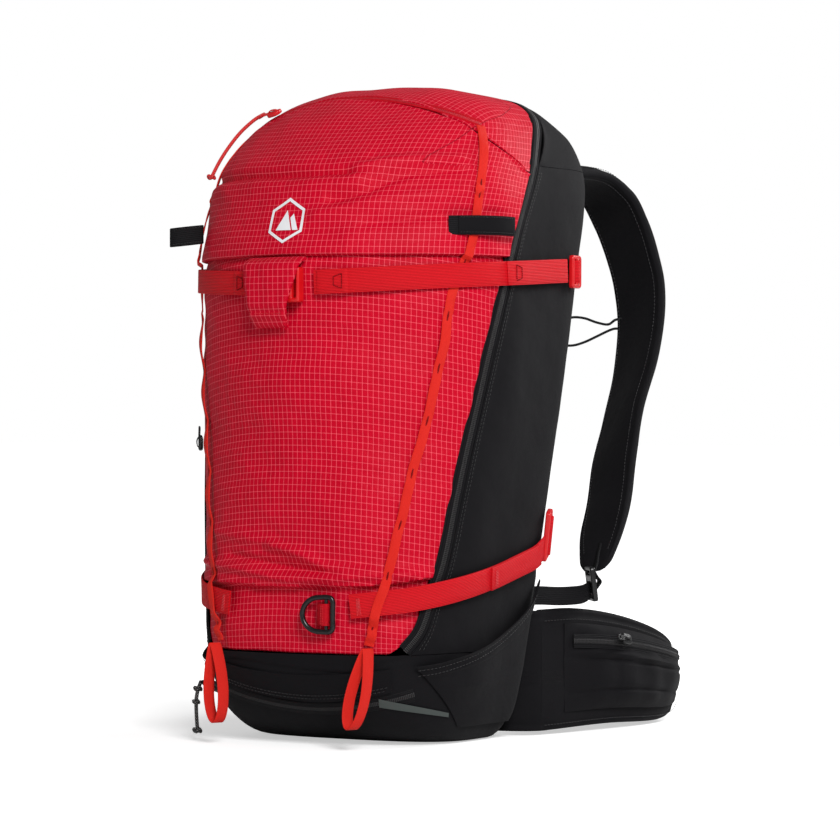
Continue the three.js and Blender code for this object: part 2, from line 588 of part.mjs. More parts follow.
// elastic sternum cord: from the right strap's tab, through the hook and back to the tab
cord('sternum_cord', blackCord, [[70, 332, 361], [62, 334, 357], [50, 334, 359], [38, 333, 363], [26, 332, 364],
  [14, 331, 361], [4, 330, 356], [0, 330, 350], [4, 330, 344], [14, 331, 339], [26, 332, 338], [38, 333, 341],
  [50, 334, 346], [62, 334, 351], [70, 332, 353]].map((p) => vec(...p)), CORD / 2, 8, false, 32);
plate('sternum_hook', blackPlastic, [[-22, -7], [-8, -9], [-1.6, -9], [-1.6, 9], [-8, 9], [-22, 7]],
  [rect(-19, -6.4, -15.4, 6.4)], 5, vec(0, 333, 350), vec(1, 0, 0), vec(0, 0, 1));
tape('sternum_tab', blackWebbing, [[-70, 333, 352], [-62, 335, 351], [-50, 336, 350], [-36, 334, 350], [-24, 331, 350]]
  .map(([x, y, z]) => ({ p: vec(x, y, z), w: vec(0, 0, 1) })), 12, 1.6);

// ---- hip belt -----------------------------------------------------------------------------------
// middle surface of the right wing: s along the wing from the bag, h up
const WING_PLAN = new THREE.CatmullRomCurve3([vec(118, 98, 0), vec(128, 128, 0), vec(138, 170, 0), vec(146, 215, 0),
  vec(148, 260, 0), vec(141, 305, 0)], false, 'centripetal');
const WING_TOP = [[0, 106], [0.2, 106], [0.45, 99], [0.75, 84], [0.92, 72], [1, 60]];
const WING_LOW = [[0, 3], [0.4, 5], [0.8, 3], [0.93, 7], [1, 16]];
function wingPoint(s, h, off) {
  const p = WING_PLAN.getPointAt(s);
  const along = WING_PLAN.getTangentAt(s);
  const out = vec(along.y, -along.x, 0).normalize();
  p.z = lerp(profile(WING_LOW, s), profile(WING_TOP, s), h);
  return p.addScaledVector(out, off);
}
function wing() {
  const rows = Array.from({ length: 11 }, (_, i) => {
    const s = i / 10;
    const thick = s > 0.95 ? 4 : 7;
    const ringPoints = [[0.06, 1], [0.3, 1], [0.7, 1], [0.94, 1], [1, 0], [0.94, -1], [0.7, -1], [0.3, -1], [0.06, -1], [0, 0]];
    return ringPoints.map(([h, side]) => wingPoint(s, h, side * thick));
  });
  return sweep('hip_wing_right', blackNylon, rows.map((row) => row.reverse()));
}
mirrored(wing(), 'hip_wing_left');

const hipPocket = shell('hip_pocket_right', blackNylon, (u, v, off) => {
  const s = lerp(0.24, 0.94, u);
  const bulge = 15 * (Math.sin(Math.PI * u) * Math.sin(Math.PI * v)) ** 0.5;
  return wingPoint(s, lerp(0.2, 0.86, v), 8 + bulge + off);
}, 10, 6, 0, 1.4);
mirrored(hipPocket, 'hip_pocket_left');

const beltWeb = tape('belt_web_right', blackWebbing, [[130, 306, 42], [112, 313, 41], [92, 317, 40], [70, 318, 40], [46, 318, 40]]
  .map(([x, y, z]) => ({ p: vec(x, y, z), w: vec(0, 0, 1) })), BELT_WEB, 1.8);
mirrored(beltWeb, 'belt_web_left');
plate('belt_buckle_socket', blackPlastic, [[10, -17], [40, -17], [45, -14], [45, 14], [40, 17], [10, 17]],
  [rect(38, -12.6, 41.4, 12.6)], 10, vec(0, 323, 40), vec(1, 0, 0), vec(0, 0, 1));
plate('belt_buckle_plug', blackPlastic, [[-45, -14], [-40, -17], [-24, -17], [-22, -15], [2, -13], [8, -9], [8, -5],
  [0, -8], [-20, -9], [-20, 9], [0, 8], [8, 5], [8, 9], [2, 13], [-22, 15], [-24, 17], [-40, 17], [-45, 14]],
  [rect(-41.4, -12.6, -38, 12.6)], 6, vec(0, 321, 40), vec(1, 0, 0), vec(0, 0, 1));

// ---- zip sliders and pull cords -----------------------------------------------------------------
// A slider lies on its zip: x along the zip, y across it, its tab pointing back along -x.
const SLIDER = [[7, -3], [7, 3], [4, 5], [-4, 5], [-6, 2.6], [-13, 2.2], [-14, 0], [-13, -2.2], [-6, -2.6],
  [-4, -5], [4, -5]];
const SLIDER_THICK = 3.6;
const PULL = 3.2;
// it slides the straight way from one point of the zip to another
function slider(name, material, from, to, n) {
  const along = to.clone().sub(from).normalize();
  return plate(name, material, SLIDER, [], SLIDER_THICK, from, along, n.clone().cross(along));
}
// where a pull cord starts: just behind the slider's tab
function tabEnd(from, to, n) {
  const along = to.clone().sub(from).normalize();
  return from.clone().addScaledVector(along, -14 - PULL / 2 - GAP).addScaledVector(n, SLIDER_THICK / 2);
}
const ARCH_REST = -55;
const archPoint = (angle, off) => skin(archHeight(angle), angle, off);
const topWay = [archPoint(ARCH_REST, 3.4), archPoint(ARCH_REST + 33, 3.4), outward(archHeight(ARCH_REST), ARCH_REST)];
slider('top_slider', redPlastic, ...topWay);
const BASE_REST = -38;
const basePoint = (angle, off) => skin(baseZipHeight(angle), angle, off);
const baseWay = [basePoint(BASE_REST, 4.4), basePoint(BASE_REST + 23, 4.4),
  outward(baseZipHeight(BASE_REST), BASE_REST)];
slider('base_slider', blackPlastic, ...baseWay);
const MAIN_REST = 250;
const leftZip = (z, off) => skin(z, -zipAngle(z), off);
slider('main_slider', blackPlastic, leftZip(MAIN_REST, 3.6), leftZip(MAIN_REST - 90, 3.6),
  outward(MAIN_REST, -zipAngle(MAIN_REST)));
const hipZipPoint = (u, off) => wingPoint(lerp(0.24, 0.94, u), lerp(0.2, 0.86, 0.86), off);
const hipSlider = slider('hip_slider_right', blackPlastic, hipZipPoint(0.22, 24.5), hipZipPoint(0.8, 24.5),
  vec(0.95, 0, 0.3).normalize());
mirrored(hipSlider, 'hip_slider_left');

// pull cords of the top pocket and the base pocket, hanging from their sliders' tabs
const topPull = [[2, 8.2], [8, 9.4], [18, 9.6], [30, 9.2], [42, 9], [54, 9]].map(([down, off]) =>
  skin(archHeight(ARCH_REST) - down, ARCH_REST - 9 - down * 0.03, off));
cord('top_pull', redCord, [tabEnd(...topWay), ...topPull], PULL / 2, 8, false, 20);
const basePull = [[-102, -92, 42], [-103, -93, 34], [-103, -93, 24], [-102.6, -92.6, 14], [-102, -92, 4]]
  .map((p) => vec(...p));
cord('base_pull', blackCord, [tabEnd(...baseWay), ...basePull], PULL / 2, 8, false, 18);

export default bag;
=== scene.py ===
import json
import math

import bpy
import numpy as np
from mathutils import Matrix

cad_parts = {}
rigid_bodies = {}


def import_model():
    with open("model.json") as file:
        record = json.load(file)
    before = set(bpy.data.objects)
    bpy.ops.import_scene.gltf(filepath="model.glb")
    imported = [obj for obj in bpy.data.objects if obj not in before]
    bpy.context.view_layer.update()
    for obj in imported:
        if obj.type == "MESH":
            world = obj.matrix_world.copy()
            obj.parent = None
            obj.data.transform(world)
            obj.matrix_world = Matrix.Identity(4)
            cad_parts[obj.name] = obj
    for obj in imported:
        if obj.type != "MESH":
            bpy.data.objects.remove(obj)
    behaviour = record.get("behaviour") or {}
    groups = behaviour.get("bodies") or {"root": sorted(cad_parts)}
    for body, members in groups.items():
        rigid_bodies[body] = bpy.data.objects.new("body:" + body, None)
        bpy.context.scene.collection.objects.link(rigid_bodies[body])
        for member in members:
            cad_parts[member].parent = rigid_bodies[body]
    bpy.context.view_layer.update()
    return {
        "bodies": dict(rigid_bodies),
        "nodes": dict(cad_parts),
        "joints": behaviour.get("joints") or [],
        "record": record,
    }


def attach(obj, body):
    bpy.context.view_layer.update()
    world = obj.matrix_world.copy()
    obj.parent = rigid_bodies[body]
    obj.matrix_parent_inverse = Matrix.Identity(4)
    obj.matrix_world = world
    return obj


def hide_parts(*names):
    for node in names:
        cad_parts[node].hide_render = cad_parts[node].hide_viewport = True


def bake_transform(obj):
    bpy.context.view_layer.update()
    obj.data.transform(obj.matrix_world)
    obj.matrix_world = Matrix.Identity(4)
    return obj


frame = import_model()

# A ski backpack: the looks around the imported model. Lengths are in millimetres until a mesh is made.
MM = 0.001

# ---- the bag's outer surface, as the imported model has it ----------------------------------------
BAG_HEIGHT = 555
FRONT_Y = -110
FRONT_DEPTH = 130
CREST_Y = 62
BASE_ROUND = 85
BASE_UNDERCUT = 92
DOME_FRONT_Z = 385
DOME_SIDE_Z = 410
DOME_BACK_Z = 462
BACK_SQUARE = 7
SEAM_Z = 77
POCKET_Z = 403
CROWN_Z = 483
ZIP_WIDTH = 10
WEB = 20
SEAM_GAP = 0.3
UP = np.array([0.0, 0.0, 1.0])
HALF_WIDTH = [[0, 116], [60, 119], [100, 124], [150, 133], [210, 141], [280, 147], [360, 149.5],
              [420, 149], [555, 149]]
BACK_LINE = [[0, 72], [40, 82], [90, 95], [140, 95], [200, 96], [250, 104], [320, 119], [400, 142],
             [480, 169], [555, 174]]
FRONT_FULL = [[0, 3.2], [86, 3], [136, 2.6], [196, 2.25], [270, 2], [555, 2]]
ZIP_LINE = [[72, 38], [82, 43.8], [98, 48.8], [122, 52.3], [154, 56.8], [204, 61.3], [270, 67.8],
            [334, 74.3], [403, 82.8], [439, 87.8], [461, 91.8], [483, 96.5], [506, 102.8], [525, 110]]
CHAIN_LINE = [[78, 30.5], [106, 33], [134, 36.5], [168, 39.5], [196, 43], [240, 47], [270, 51],
              [310, 54.5], [368, 59], [406, 64.5], [438, 67], [463, 68.5], [485, 69], [512, 71]]
ZIP_CROWN = [[123, 90], [105, 110], [84, 119], [50, 123], [0, 124]]
# the mitre seam at each side of the top pocket: height, angle
DART_LINE = [[479, 47], [487, 50], [493, 53.5], [507, 64], [514, 69], [520, 76], [536, 105]]


def profile(table, x):
    """Smooth value of a table [[x, y], ...] at x."""
    xs, ys = np.array(table, float).T
    x = np.asarray(x, float)
    i = np.clip(np.searchsorted(xs, x, side="left") - 1, 0, len(xs) - 2)
    slope = np.empty(len(xs))
    slope[1:-1] = (ys[2:] - ys[:-2]) / (xs[2:] - xs[:-2])
    slope[0] = (ys[1] - ys[0]) / (xs[1] - xs[0])
    slope[-1] = (ys[-1] - ys[-2]) / (xs[-1] - xs[-2])
    h = xs[i + 1] - xs[i]
    t = np.clip((x - xs[i]) / h, 0, 1)
    s = ease(t)
    return ys[i] * (1 - s) + ys[i + 1] * s + h * t * (1 - t) * ((1 - t) * slope[i] - t * slope[i + 1])


def round_off(t, n):
    """From 1 down to 0 along a rounded corner, as t goes from 0 to 1."""
    return np.maximum(0, 1 - np.clip(t, 0, 1) ** n) ** (1 / n)


def lerp(a, b, t):
    return a + (b - a) * t


def ridge(x, width, power=2):
    """1 where x is 0, falling off on both sides over a width."""
    return np.exp(-(x / width) ** power)


def ramp(x):
    """x held between 0 and 1."""
    return np.clip(x, 0, 1)


def ease(t):
    return t * t * (3 - 2 * t)


def ring(z):
    """A level of the bag: half width, front, back, widest place and the front's fullness."""
    low = (BASE_ROUND - z) / BASE_ROUND
    back0 = profile(BACK_LINE, z)
    share = FRONT_DEPTH / (back0 - FRONT_Y)
    a = (profile(HALF_WIDTH, z) * round_off((z - DOME_SIDE_Z) / (BAG_HEIGHT - DOME_SIDE_Z), 2.8)
         * lerp(0.8, 1, round_off(low, 2.5)))
    front = (CREST_Y - (CREST_Y - FRONT_Y) * round_off((z - DOME_FRONT_Z) / (BAG_HEIGHT - DOME_FRONT_Z), 2)
             + BASE_UNDERCUT * (1 - round_off(low, 2)))
    back = (CREST_Y + (back0 - CREST_Y) * round_off((z - DOME_BACK_Z) / (BAG_HEIGHT - DOME_BACK_Z), 2.6)
            - 12 * (1 - round_off((40 - z) / 40, 2)))
    return a, front, back, lerp(front, back, share), profile(FRONT_FULL, z)


def surface(z, angle):
    """The smooth surface at a height and an angle from the front middle, to the right."""
    z, angle = np.broadcast_arrays(np.asarray(z, float), np.asarray(angle, float))
    a, front, back, mid, full = ring(z)
    s, c = np.sin(np.radians(angle)), np.cos(np.radians(angle))
    n = np.where(c > 0, full, BACK_SQUARE)
    depth = np.maximum(0.01, np.where(c > 0, mid - front, back - mid))
    r = (np.abs(s / np.maximum(a, 0.01)) ** n + np.abs(c / depth) ** n) ** (-1 / n)
    return np.stack([r * s * np.where(c > 0, 1, 1 - 0.03 * c), mid - r * c, z], -1)


def unit(v):
    v = np.asarray(v, float)
    return v / np.maximum(np.linalg.norm(v, axis=-1, keepdims=True), 1e-9)


def outward(z, angle):
    z, angle = np.broadcast_arrays(np.asarray(z, float), np.asarray(angle, float))
    up = surface(np.minimum(z + 1, BAG_HEIGHT - 0.2), angle) - surface(np.maximum(z - 1, 0), angle)
    turn = surface(z, np.minimum(angle + 0.8, 180)) - surface(z, np.maximum(angle - 0.8, -180))
    return unit(np.cross(turn, up))


def skin(z, angle, off=0.0):
    return surface(z, angle) + outward(z, angle) * np.asarray(off)[..., None]


def angle_of(p):
    return np.degrees(np.arctan2(p[..., 0], ring(p[..., 2])[3] - p[..., 1]))


def dome_height(x, y):
    """The surface's height over a place in plan, by halving."""
    x, y = np.broadcast_arrays(np.asarray(x, float), np.asarray(y, float))
    low, high = np.full(x.shape, float(DOME_FRONT_Z)), np.full(x.shape, float(BAG_HEIGHT))
    for _ in range(34):
        z = (low + high) / 2
        mid = ring(z)[3]
        edge = surface(z, np.degrees(np.arctan2(x, mid - y)))
        inside = np.hypot(x, y - mid) < np.hypot(edge[..., 0], edge[..., 1] - mid)
        low, high = np.where(inside, z, low), np.where(inside, high, z)
    return low


def zip_angle(z):
    return profile(ZIP_LINE, z)


def chain_angle(z):
    return profile(CHAIN_LINE, z)


def per_degree(z, angle):
    """Millimetres along the ring for one degree."""
    return np.linalg.norm(surface(z, angle + 0.5) - surface(z, angle - 0.5), axis=-1)


def arc(z, angle, steps=24):
    """Distance along the ring from its front middle."""
    share = np.linspace(0, 1, steps + 1)
    line = surface(np.asarray(z)[..., None], np.asarray(angle)[..., None] * share)
    return np.linalg.norm(np.diff(line, axis=-2), axis=-1).sum(-1) * np.sign(angle)


def beside_zip(z, side, gap=SEAM_GAP):
    """The angle at which a panel stops beside the main zip, before it (-1) or behind it (1)."""
    angle = zip_angle(z)
    lean = np.linalg.norm(surface(z + 4, zip_angle(z + 4)) - surface(z - 4, zip_angle(z - 4)), axis=-1) / 8
    return angle + side * (ZIP_WIDTH / 2 + gap) * lean / per_degree(z, angle)


def corner_angle(z):
    """Where the side panel ends and the back begins."""
    a, _, back, mid, _ = ring(z)
    return 92 + np.degrees(np.arctan2(back - mid, a))


def arch_height(angle):
    """The top pocket's zip, over the front."""
    return 541 - 25 * (np.abs(angle) / 72) ** 2.6


# ---- curves and meshes --------------------------------------------------------------------------
def way_along(line):
    """The distance travelled at each point of a line."""
    return np.concatenate([[0], np.cumsum(np.linalg.norm(np.diff(line, axis=0), axis=1))])


def at_way(at, way, values):
    """Values known along a way, read at other places on it."""
    return np.stack([np.interp(at, way, values[:, k]) for k in range(values.shape[1])], -1)


def spline(points, count, closed=False):
    """Points at equal steps on a smooth line through the given ones."""
    p = np.array(points, float)
    p = np.vstack([p[-1], p, p[0], p[1]]) if closed else np.vstack([2 * p[0] - p[1], p, 2 * p[-1] - p[-2]])
    dense = []
    for i in range(1, len(p) - 2):
        t = np.linspace(0, 1, 24, endpoint=False)[:, None]
        a, b, c, d = p[i - 1], p[i], p[i + 1], p[i + 2]
        dense.append(0.5 * (2 * b + (c - a) * t + (2 * a - 5 * b + 4 * c - d) * t ** 2
                            + (3 * b - a - 3 * c + d) * t ** 3))
    dense = np.vstack([*dense, p[-2][None]])
    way = way_along(dense)
    at = np.linspace(0, way[-1], count + 1)[:-1] if closed else np.linspace(0, way[-1], count)
    return at_way(at, way, dense)


def along_of(line, closed=False):
    if closed:
        return unit(np.roll(line, -1, 0) - np.roll(line, 1, 0))
    return unit(np.gradient(line, axis=0))


def make_object(name, points, faces, material, uv=None, sharp=50, **attributes):
    mesh = bpy.data.meshes.new(name)
    mesh.from_pydata((np.asarray(points).reshape(-1, 3) * MM).tolist(), [], faces)
    mesh.materials.append(material)
    if uv is not None:
        corner = np.empty(len(mesh.loops), int)
        mesh.loops.foreach_get("vertex_index", corner)
        for key, values in (uv if isinstance(uv, dict) else {"UVMap": uv}).items():
            layer = mesh.uv_layers.new(name=key)
            layer.data.foreach_set("uv", (np.asarray(values).reshape(-1, 2)[corner] * MM).ravel())
    for key, values in attributes.items():
        layer = mesh.attributes.new(key, "FLOAT", "POINT")
        layer.data.foreach_set("value", np.asarray(values, float).ravel())
    mesh.shade_smooth()
    mesh.set_sharp_from_angle(angle=math.radians(sharp))
    obj = bpy.data.objects.new(name, mesh)
    bpy.context.scene.collection.objects.link(obj)
    return obj


def place(obj, body, slot, *nodes):
    """The piece moves with its body and stands for CAD nodes, which are hidden; the slot is not used."""
    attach(obj, body)
    if nodes:
        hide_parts(*nodes)
    return obj


def grid_normals(p, closed_u=False):
    du = (np.roll(p, -1, 1) - np.roll(p, 1, 1)) if closed_u else np.gradient(p, axis=1)
    dv = np.gradient(p, axis=0)
    return unit(np.cross(du, dv))


def grid_shell(name, outer, thick, material, uv=None, sharp=50, **attributes):
    """A closed sheet under a grid of points: rows upward, columns to the right, seen from outside."""
    rows, cols = outer.shape[:2]
    inner = outer - grid_normals(outer) * thick
    index = np.arange(rows * cols).reshape(rows, cols)
    quads = np.stack([index[:-1, :-1], index[:-1, 1:], index[1:, 1:], index[1:, :-1]], -1).reshape(-1, 4)
    faces = quads.tolist() + (quads[:, ::-1] + rows * cols).tolist()
    border = np.concatenate([index[0, :], index[1:, -1], index[-1, -2::-1], index[-2:0:-1, 0]])
    other = border + rows * cols
    nxt, other_nxt = np.roll(border, -1), np.roll(other, -1)
    faces += np.stack([border, other, other_nxt, nxt], -1).tolist()
    if uv is not None:
        uv = {key: np.concatenate([np.reshape(values, (-1, 2))] * 2) for key, values in
              (uv if isinstance(uv, dict) else {"UVMap": uv}).items()}
    doubled = {key: np.concatenate([np.ravel(values)] * 2) for key, values in attributes.items()}
    points = np.concatenate([outer.reshape(-1, 3), inner.reshape(-1, 3)])
    return make_object(name, points, faces, material, uv, sharp, **doubled)


def quads_between(a, b):
    """Faces between two closed rows of point numbers."""
    return np.stack([a, np.roll(a, -1, -1), np.roll(b, -1, -1), b], -1).reshape(-1, 4).tolist()


def sweep(name, rows, material, closed=False, uv_width=None, sharp=50):
    """Rows of points around a line, joined into a tube with flat ends, or into a ring."""
    rows = np.asarray(rows, float)
    count, sides = rows.shape[:2]
    index = np.arange(count * sides).reshape(count, sides)
    if closed:
        index = np.vstack([index, index[:1]])
    faces = quads_between(index[:-1], index[1:])
    if not closed:
        faces += [index[0][::-1].tolist(), index[-1].tolist()]
    way = way_along(rows.mean(1))
    around = np.linalg.norm(rows - np.roll(rows, 1, 1), axis=-1).cumsum(1)
    across = around if uv_width is None else np.broadcast_to(uv_width, (count, sides))
    uv = np.stack([np.repeat(way[:, None], sides, 1), across], -1)
    return make_object(name, rows, faces, material, uv, sharp)


def frames(line, closed=False, hint=(0, 0, 1)):
    """Two directions across a line, carried along it without twisting."""
    along = along_of(line, closed)
    side = np.cross(along[0], hint)
    if np.linalg.norm(side) < 0.1:
        side = np.cross(along[0], (1, 0.2, 0))
    sides = []
    for t in along:
        side = unit(side - np.dot(side, t) * t)
        sides.append(side)
    sides = np.array(sides)
    return sides, np.cross(along, sides)


def tube(name, line, radius, material, closed=False, sides=10):
    a, b = frames(line, closed)
    turn = np.linspace(0, 2 * np.pi, sides, endpoint=False)
    radius = np.broadcast_to(radius, len(line))[:, None, None]
    circle = np.cos(turn)[None, :, None] * a[:, None] + np.sin(turn)[None, :, None] * b[:, None]
    rows = line[:, None] + radius * circle
    return sweep(name, rows, material, closed, sharp=80)


def web_rows(line, across, width, thick, closed=False, belly=0.0):
    """Cross-sections of a flat web with rounded edges."""
    face = unit(np.cross(along_of(line, closed), across))
    half, t = width / 2, thick / 2
    lower = [(-half, -t * 0.45), (-half + 0.5, -t), (-half / 3, -t - belly), (half / 3, -t - belly),
             (half - 0.5, -t), (half, -t * 0.45)]
    shape = lower + [(x, -y) for x, y in lower[::-1]]
    rows = np.stack([line + across * x + face * y for x, y in shape], 1)
    return rows, np.array([x for x, _ in shape]) + half


def web(name, line, across, width, thick, material, closed=False, belly=0.0):
    across = unit(np.broadcast_to(across, line.shape))
    rows, uv_width = web_rows(line, across, width, thick, closed, belly)
    return sweep(name, rows, material, closed, uv_width, sharp=40)


def skin_line(marks, count):
    """A line on the bag's surface through marks [z, angle, off], and its normals."""
    m = spline(marks, count)
    return skin(m[:, 0], m[:, 1], m[:, 2]), outward(m[:, 0], m[:, 1])


def stitches(name, line, normal, material, length=2.4, gap=1.1, radius=0.3, lift=0.1):
    """A row of threads laid end to end along a line."""
    way = way_along(line)
    starts = np.arange(0, way[-1] - length, length + gap)
    at = starts[:, None] + length * np.array([0, 0.15, 0.5, 0.85, 1])[None]
    bulge = np.array([-0.25, 0.55, 1, 0.55, -0.25])
    size = np.array([0.35, 0.9, 1, 0.9, 0.35])
    p = at_way(at, way, line)
    n = unit(at_way(at, way, np.broadcast_to(normal, line.shape)))
    along = unit(p[:, -1:] - p[:, :1])
    side = unit(np.cross(n, along))
    p = p + n * (lift + radius * bulge)[None, :, None]
    turn = np.linspace(0, 2 * np.pi, 6, endpoint=False)
    cos, sin = np.cos(turn)[None, None, :, None], np.sin(turn)[None, None, :, None]
    circle = cos * side[:, :, None] + sin * n[:, :, None]
    points = p[:, :, None] + radius * size[None, :, None, None] * circle
    count = len(starts)
    index = np.arange(count * 30).reshape(count, 5, 6)
    faces = quads_between(index[:, :-1], index[:, 1:])
    faces += index[:, 0, ::-1].tolist() + index[:, -1].tolist()
    return make_object(name, points, faces, material, sharp=80)


def plate(name, outline, holes, thick, bevel, material, origin, x_axis, y_axis, bend=None):
    """A moulded plate with rounded edges: outline and holes in its own x and y, middle at origin."""
    curve = bpy.data.curves.new(name, "CURVE")
    curve.dimensions = "2D"
    curve.fill_mode = "BOTH"
    curve.extrude = (thick / 2 - bevel) * MM
    curve.bevel_depth = bevel * MM
    curve.bevel_resolution = 3
    curve.offset = -bevel * MM
    for loop in [outline, *holes]:
        s = curve.splines.new("POLY")
        s.points.add(len(loop) - 1)
        for point, (x, y) in zip(s.points, loop):
            point.co = (x * MM, y * MM, 0, 1)
        s.use_cyclic_u = True
    temp = bpy.data.objects.new(name + "_temp", curve)
    bpy.context.scene.collection.objects.link(temp)
    bpy.context.view_layer.update()
    mesh = bpy.data.meshes.new_from_object(temp.evaluated_get(bpy.context.evaluated_depsgraph_get()))
    bpy.data.objects.remove(temp)
    co = np.array([v.co for v in mesh.vertices]) / MM
    if bend:
        co[:, 2] += bend(co[:, 0], co[:, 1])
    x = unit(x_axis)
    z = unit(np.cross(x, y_axis))
    y = np.cross(z, x)
    world = np.asarray(origin, float) + co[:, :1] * x + co[:, 1:2] * y + co[:, 2:3] * z
    mesh.vertices.foreach_set("co", (world * MM).ravel())
    mesh.name = name
    mesh.materials.clear()
    mesh.materials.append(material)
    mesh.shade_smooth()
    mesh.set_sharp_from_angle(angle=math.radians(42))
    mesh.update()
    obj = bpy.data.objects.new(name, mesh)
    bpy.context.scene.collection.objects.link(obj)
    return obj


def rounded(points, radius, steps=4):
    """An outline with its corners rounded."""
    p = np.array(points, float)
    out = []
    for i in range(len(p)):
        corner, before, after = p[i], p[i - 1], p[(i + 1) % len(p)]
        r = min(radius, np.linalg.norm(before - corner) * 0.45, np.linalg.norm(after - corner) * 0.45)
        a = corner + unit(before - corner) * r
        b = corner + unit(after - corner) * r
        for t in np.linspace(0, 1, steps + 1):
            out.append(((1 - t) ** 2 * a + 2 * t * (1 - t) * corner + t * t * b).tolist())
    return out


def box_outline(x0, y0, x1, y1):
    return [[x0, y0], [x1, y0], [x1, y1], [x0, y1]]


def opening(x0, y0, x1, y1, radius=0.8):
    """A slot through a plate."""
    return rounded(box_outline(x0, y0, x1, y1), radius, 2)


def mirrored_line(line):
    return np.asarray(line) * np.array([-1, 1, 1])


def mirror_object(obj):
    """The left twin of a right-hand piece."""
    mesh = obj.data.copy()
    co = np.empty(len(mesh.vertices) * 3)
    mesh.vertices.foreach_get("co", co)
    co = co.reshape(-1, 3) * np.array([-1, 1, 1])
    mesh.vertices.foreach_set("co", co.ravel())
    mesh.flip_normals()
    mesh.update()
    twin = bpy.data.objects.new(obj.name.replace("right", "left"), mesh)
    bpy.context.scene.collection.objects.link(twin)
    return twin


def place_pair(obj, body, slot, node=None):
    """A right-hand piece and its left twin, both on the bag or each on its side's body."""
    twin = mirror_object(obj)
    for piece, side in ((obj, "right"), (twin, "left")):
        place(piece, body if body == "bag" else f"{body}_{side}", slot, *([f"{node}_{side}"] if node else []))
    return obj, twin


def blend_pair(obj, body, slot, root, free, node=None, pad=None):
    """A soft piece and its left twin, each with its transform baked in and its CAD node, if given, hidden;
    the body, root and free point are not used.
    """
    for piece, side in ((obj, "right"), (mirror_object(obj), "left")):
        if node:
            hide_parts(f"{node}_{side}")
        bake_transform(piece)


# ---- materials ----------------------------------------------------------------------------------
class Shader:
    """A material built node by node."""

    def __init__(self, name, roughness=0.6, metallic=0.0, sheen=0.0, specular=0.5, coat=0.0):
        self.material = bpy.data.materials.new(name)
        self.material.use_nodes = True
        self.tree = self.material.node_tree
        self.bsdf = self.tree.nodes["Principled BSDF"]
        self.bsdf.inputs["Roughness"].default_value = roughness
        self.bsdf.inputs["Metallic"].default_value = metallic
        self.bsdf.inputs["Specular IOR Level"].default_value = specular
        self.bsdf.inputs["Sheen Weight"].default_value = sheen
        self.bsdf.inputs["Sheen Roughness"].default_value = 0.45
        self.bsdf.inputs["Coat Weight"].default_value = coat

    def add(self, kind, inputs=(), **settings):
        node = self.tree.nodes.new(kind)
        for key, value in settings.items():
            setattr(node, key, value)
        for key, value in dict(inputs).items():
            if isinstance(value, bpy.types.NodeSocket):
                self.tree.links.new(value, node.inputs[key])
            else:
                node.inputs[key].default_value = value
        return node

    def math(self, operation, a, b=0.0, c=0.0, clamp=False):
        return self.add("ShaderNodeMath", {0: a, 1: b, 2: c}, operation=operation, use_clamp=clamp).outputs[0]

    def smooth(self, value, low, high):
        """0 below low, 1 above high."""
        return self.add("ShaderNodeMapRange", {"Value": value, "From Min": low, "From Max": high},
                        interpolation_type="SMOOTHSTEP").outputs["Result"]

    def mix(self, share, a, b, blend="MIX"):
        node = self.add("ShaderNodeMix", data_type="RGBA", blend_type=blend)
        for index, value in ((0, share), (6, a), (7, b)):
            if isinstance(value, bpy.types.NodeSocket):
                self.tree.links.new(value, node.inputs[index])
            else:
                node.inputs[index].default_value = value
        return node.outputs[2]

    def mix_number(self, share, a, b):
        return self.add("ShaderNodeMix", {0: share, 2: a, 3: b}, data_type="FLOAT").outputs[0]

    def uv(self, name="UVMap"):
        """The cloth's own flat coordinates, in millimetres."""
        source = self.add("ShaderNodeUVMap", uv_map=name).outputs["UV"]
        return self.add("ShaderNodeVectorMath", {0: source, 3: 1000.0}, operation="SCALE").outputs[0]

    def split(self, vector):
        node = self.add("ShaderNodeSeparateXYZ", {0: vector})
        return node.outputs[0], node.outputs[1]

    def place_mm(self):
        source = self.add("ShaderNodeTexCoord").outputs["Object"]
        return self.add("ShaderNodeVectorMath", {0: source, 3: 1000.0}, operation="SCALE").outputs[0]

    def noise(self, vector, scale, detail=2.0, roughness=0.5):
        return self.add("ShaderNodeTexNoise", {"Vector": vector, "Scale": scale, "Detail": detail,
                                               "Roughness": roughness}).outputs["Fac"]

    def wave(self, value, pitch, phase=0.0):
        """A sine from 0 to 1 with the given pitch."""
        turn = self.math("MULTIPLY_ADD", value, 2 * math.pi / pitch, phase)
        return self.math("MULTIPLY_ADD", self.math("SINE", turn), 0.5, 0.5)

    def bump(self, height, distance, strength=1.0, normal=None):
        inputs = {"Height": height, "Distance": distance * MM, "Strength": strength}
        if normal is not None:
            inputs["Normal"] = normal
        return self.add("ShaderNodeBump", inputs).outputs["Normal"]

    def finish(self, color=None, roughness=None, normal=None):
        for key, value in (("Base Color", color), ("Roughness", roughness), ("Normal", normal)):
            if isinstance(value, bpy.types.NodeSocket):
                self.tree.links.new(value, self.bsdf.inputs[key])
            elif value is not None:
                self.bsdf.inputs[key].default_value = value
        return self.material


def rgb(red, green, blue):
    """A display colour from 0 to 255 as the shader's linear colour."""
    def linear(value):
        value /= 255
        return value / 12.92 if value <= 0.04045 else ((value + 0.055) / 1.055) ** 2.4
    return (linear(red), linear(green), linear(blue), 1.0)


CELL_WIDE = 4.4
CELL_TALL = 5.4


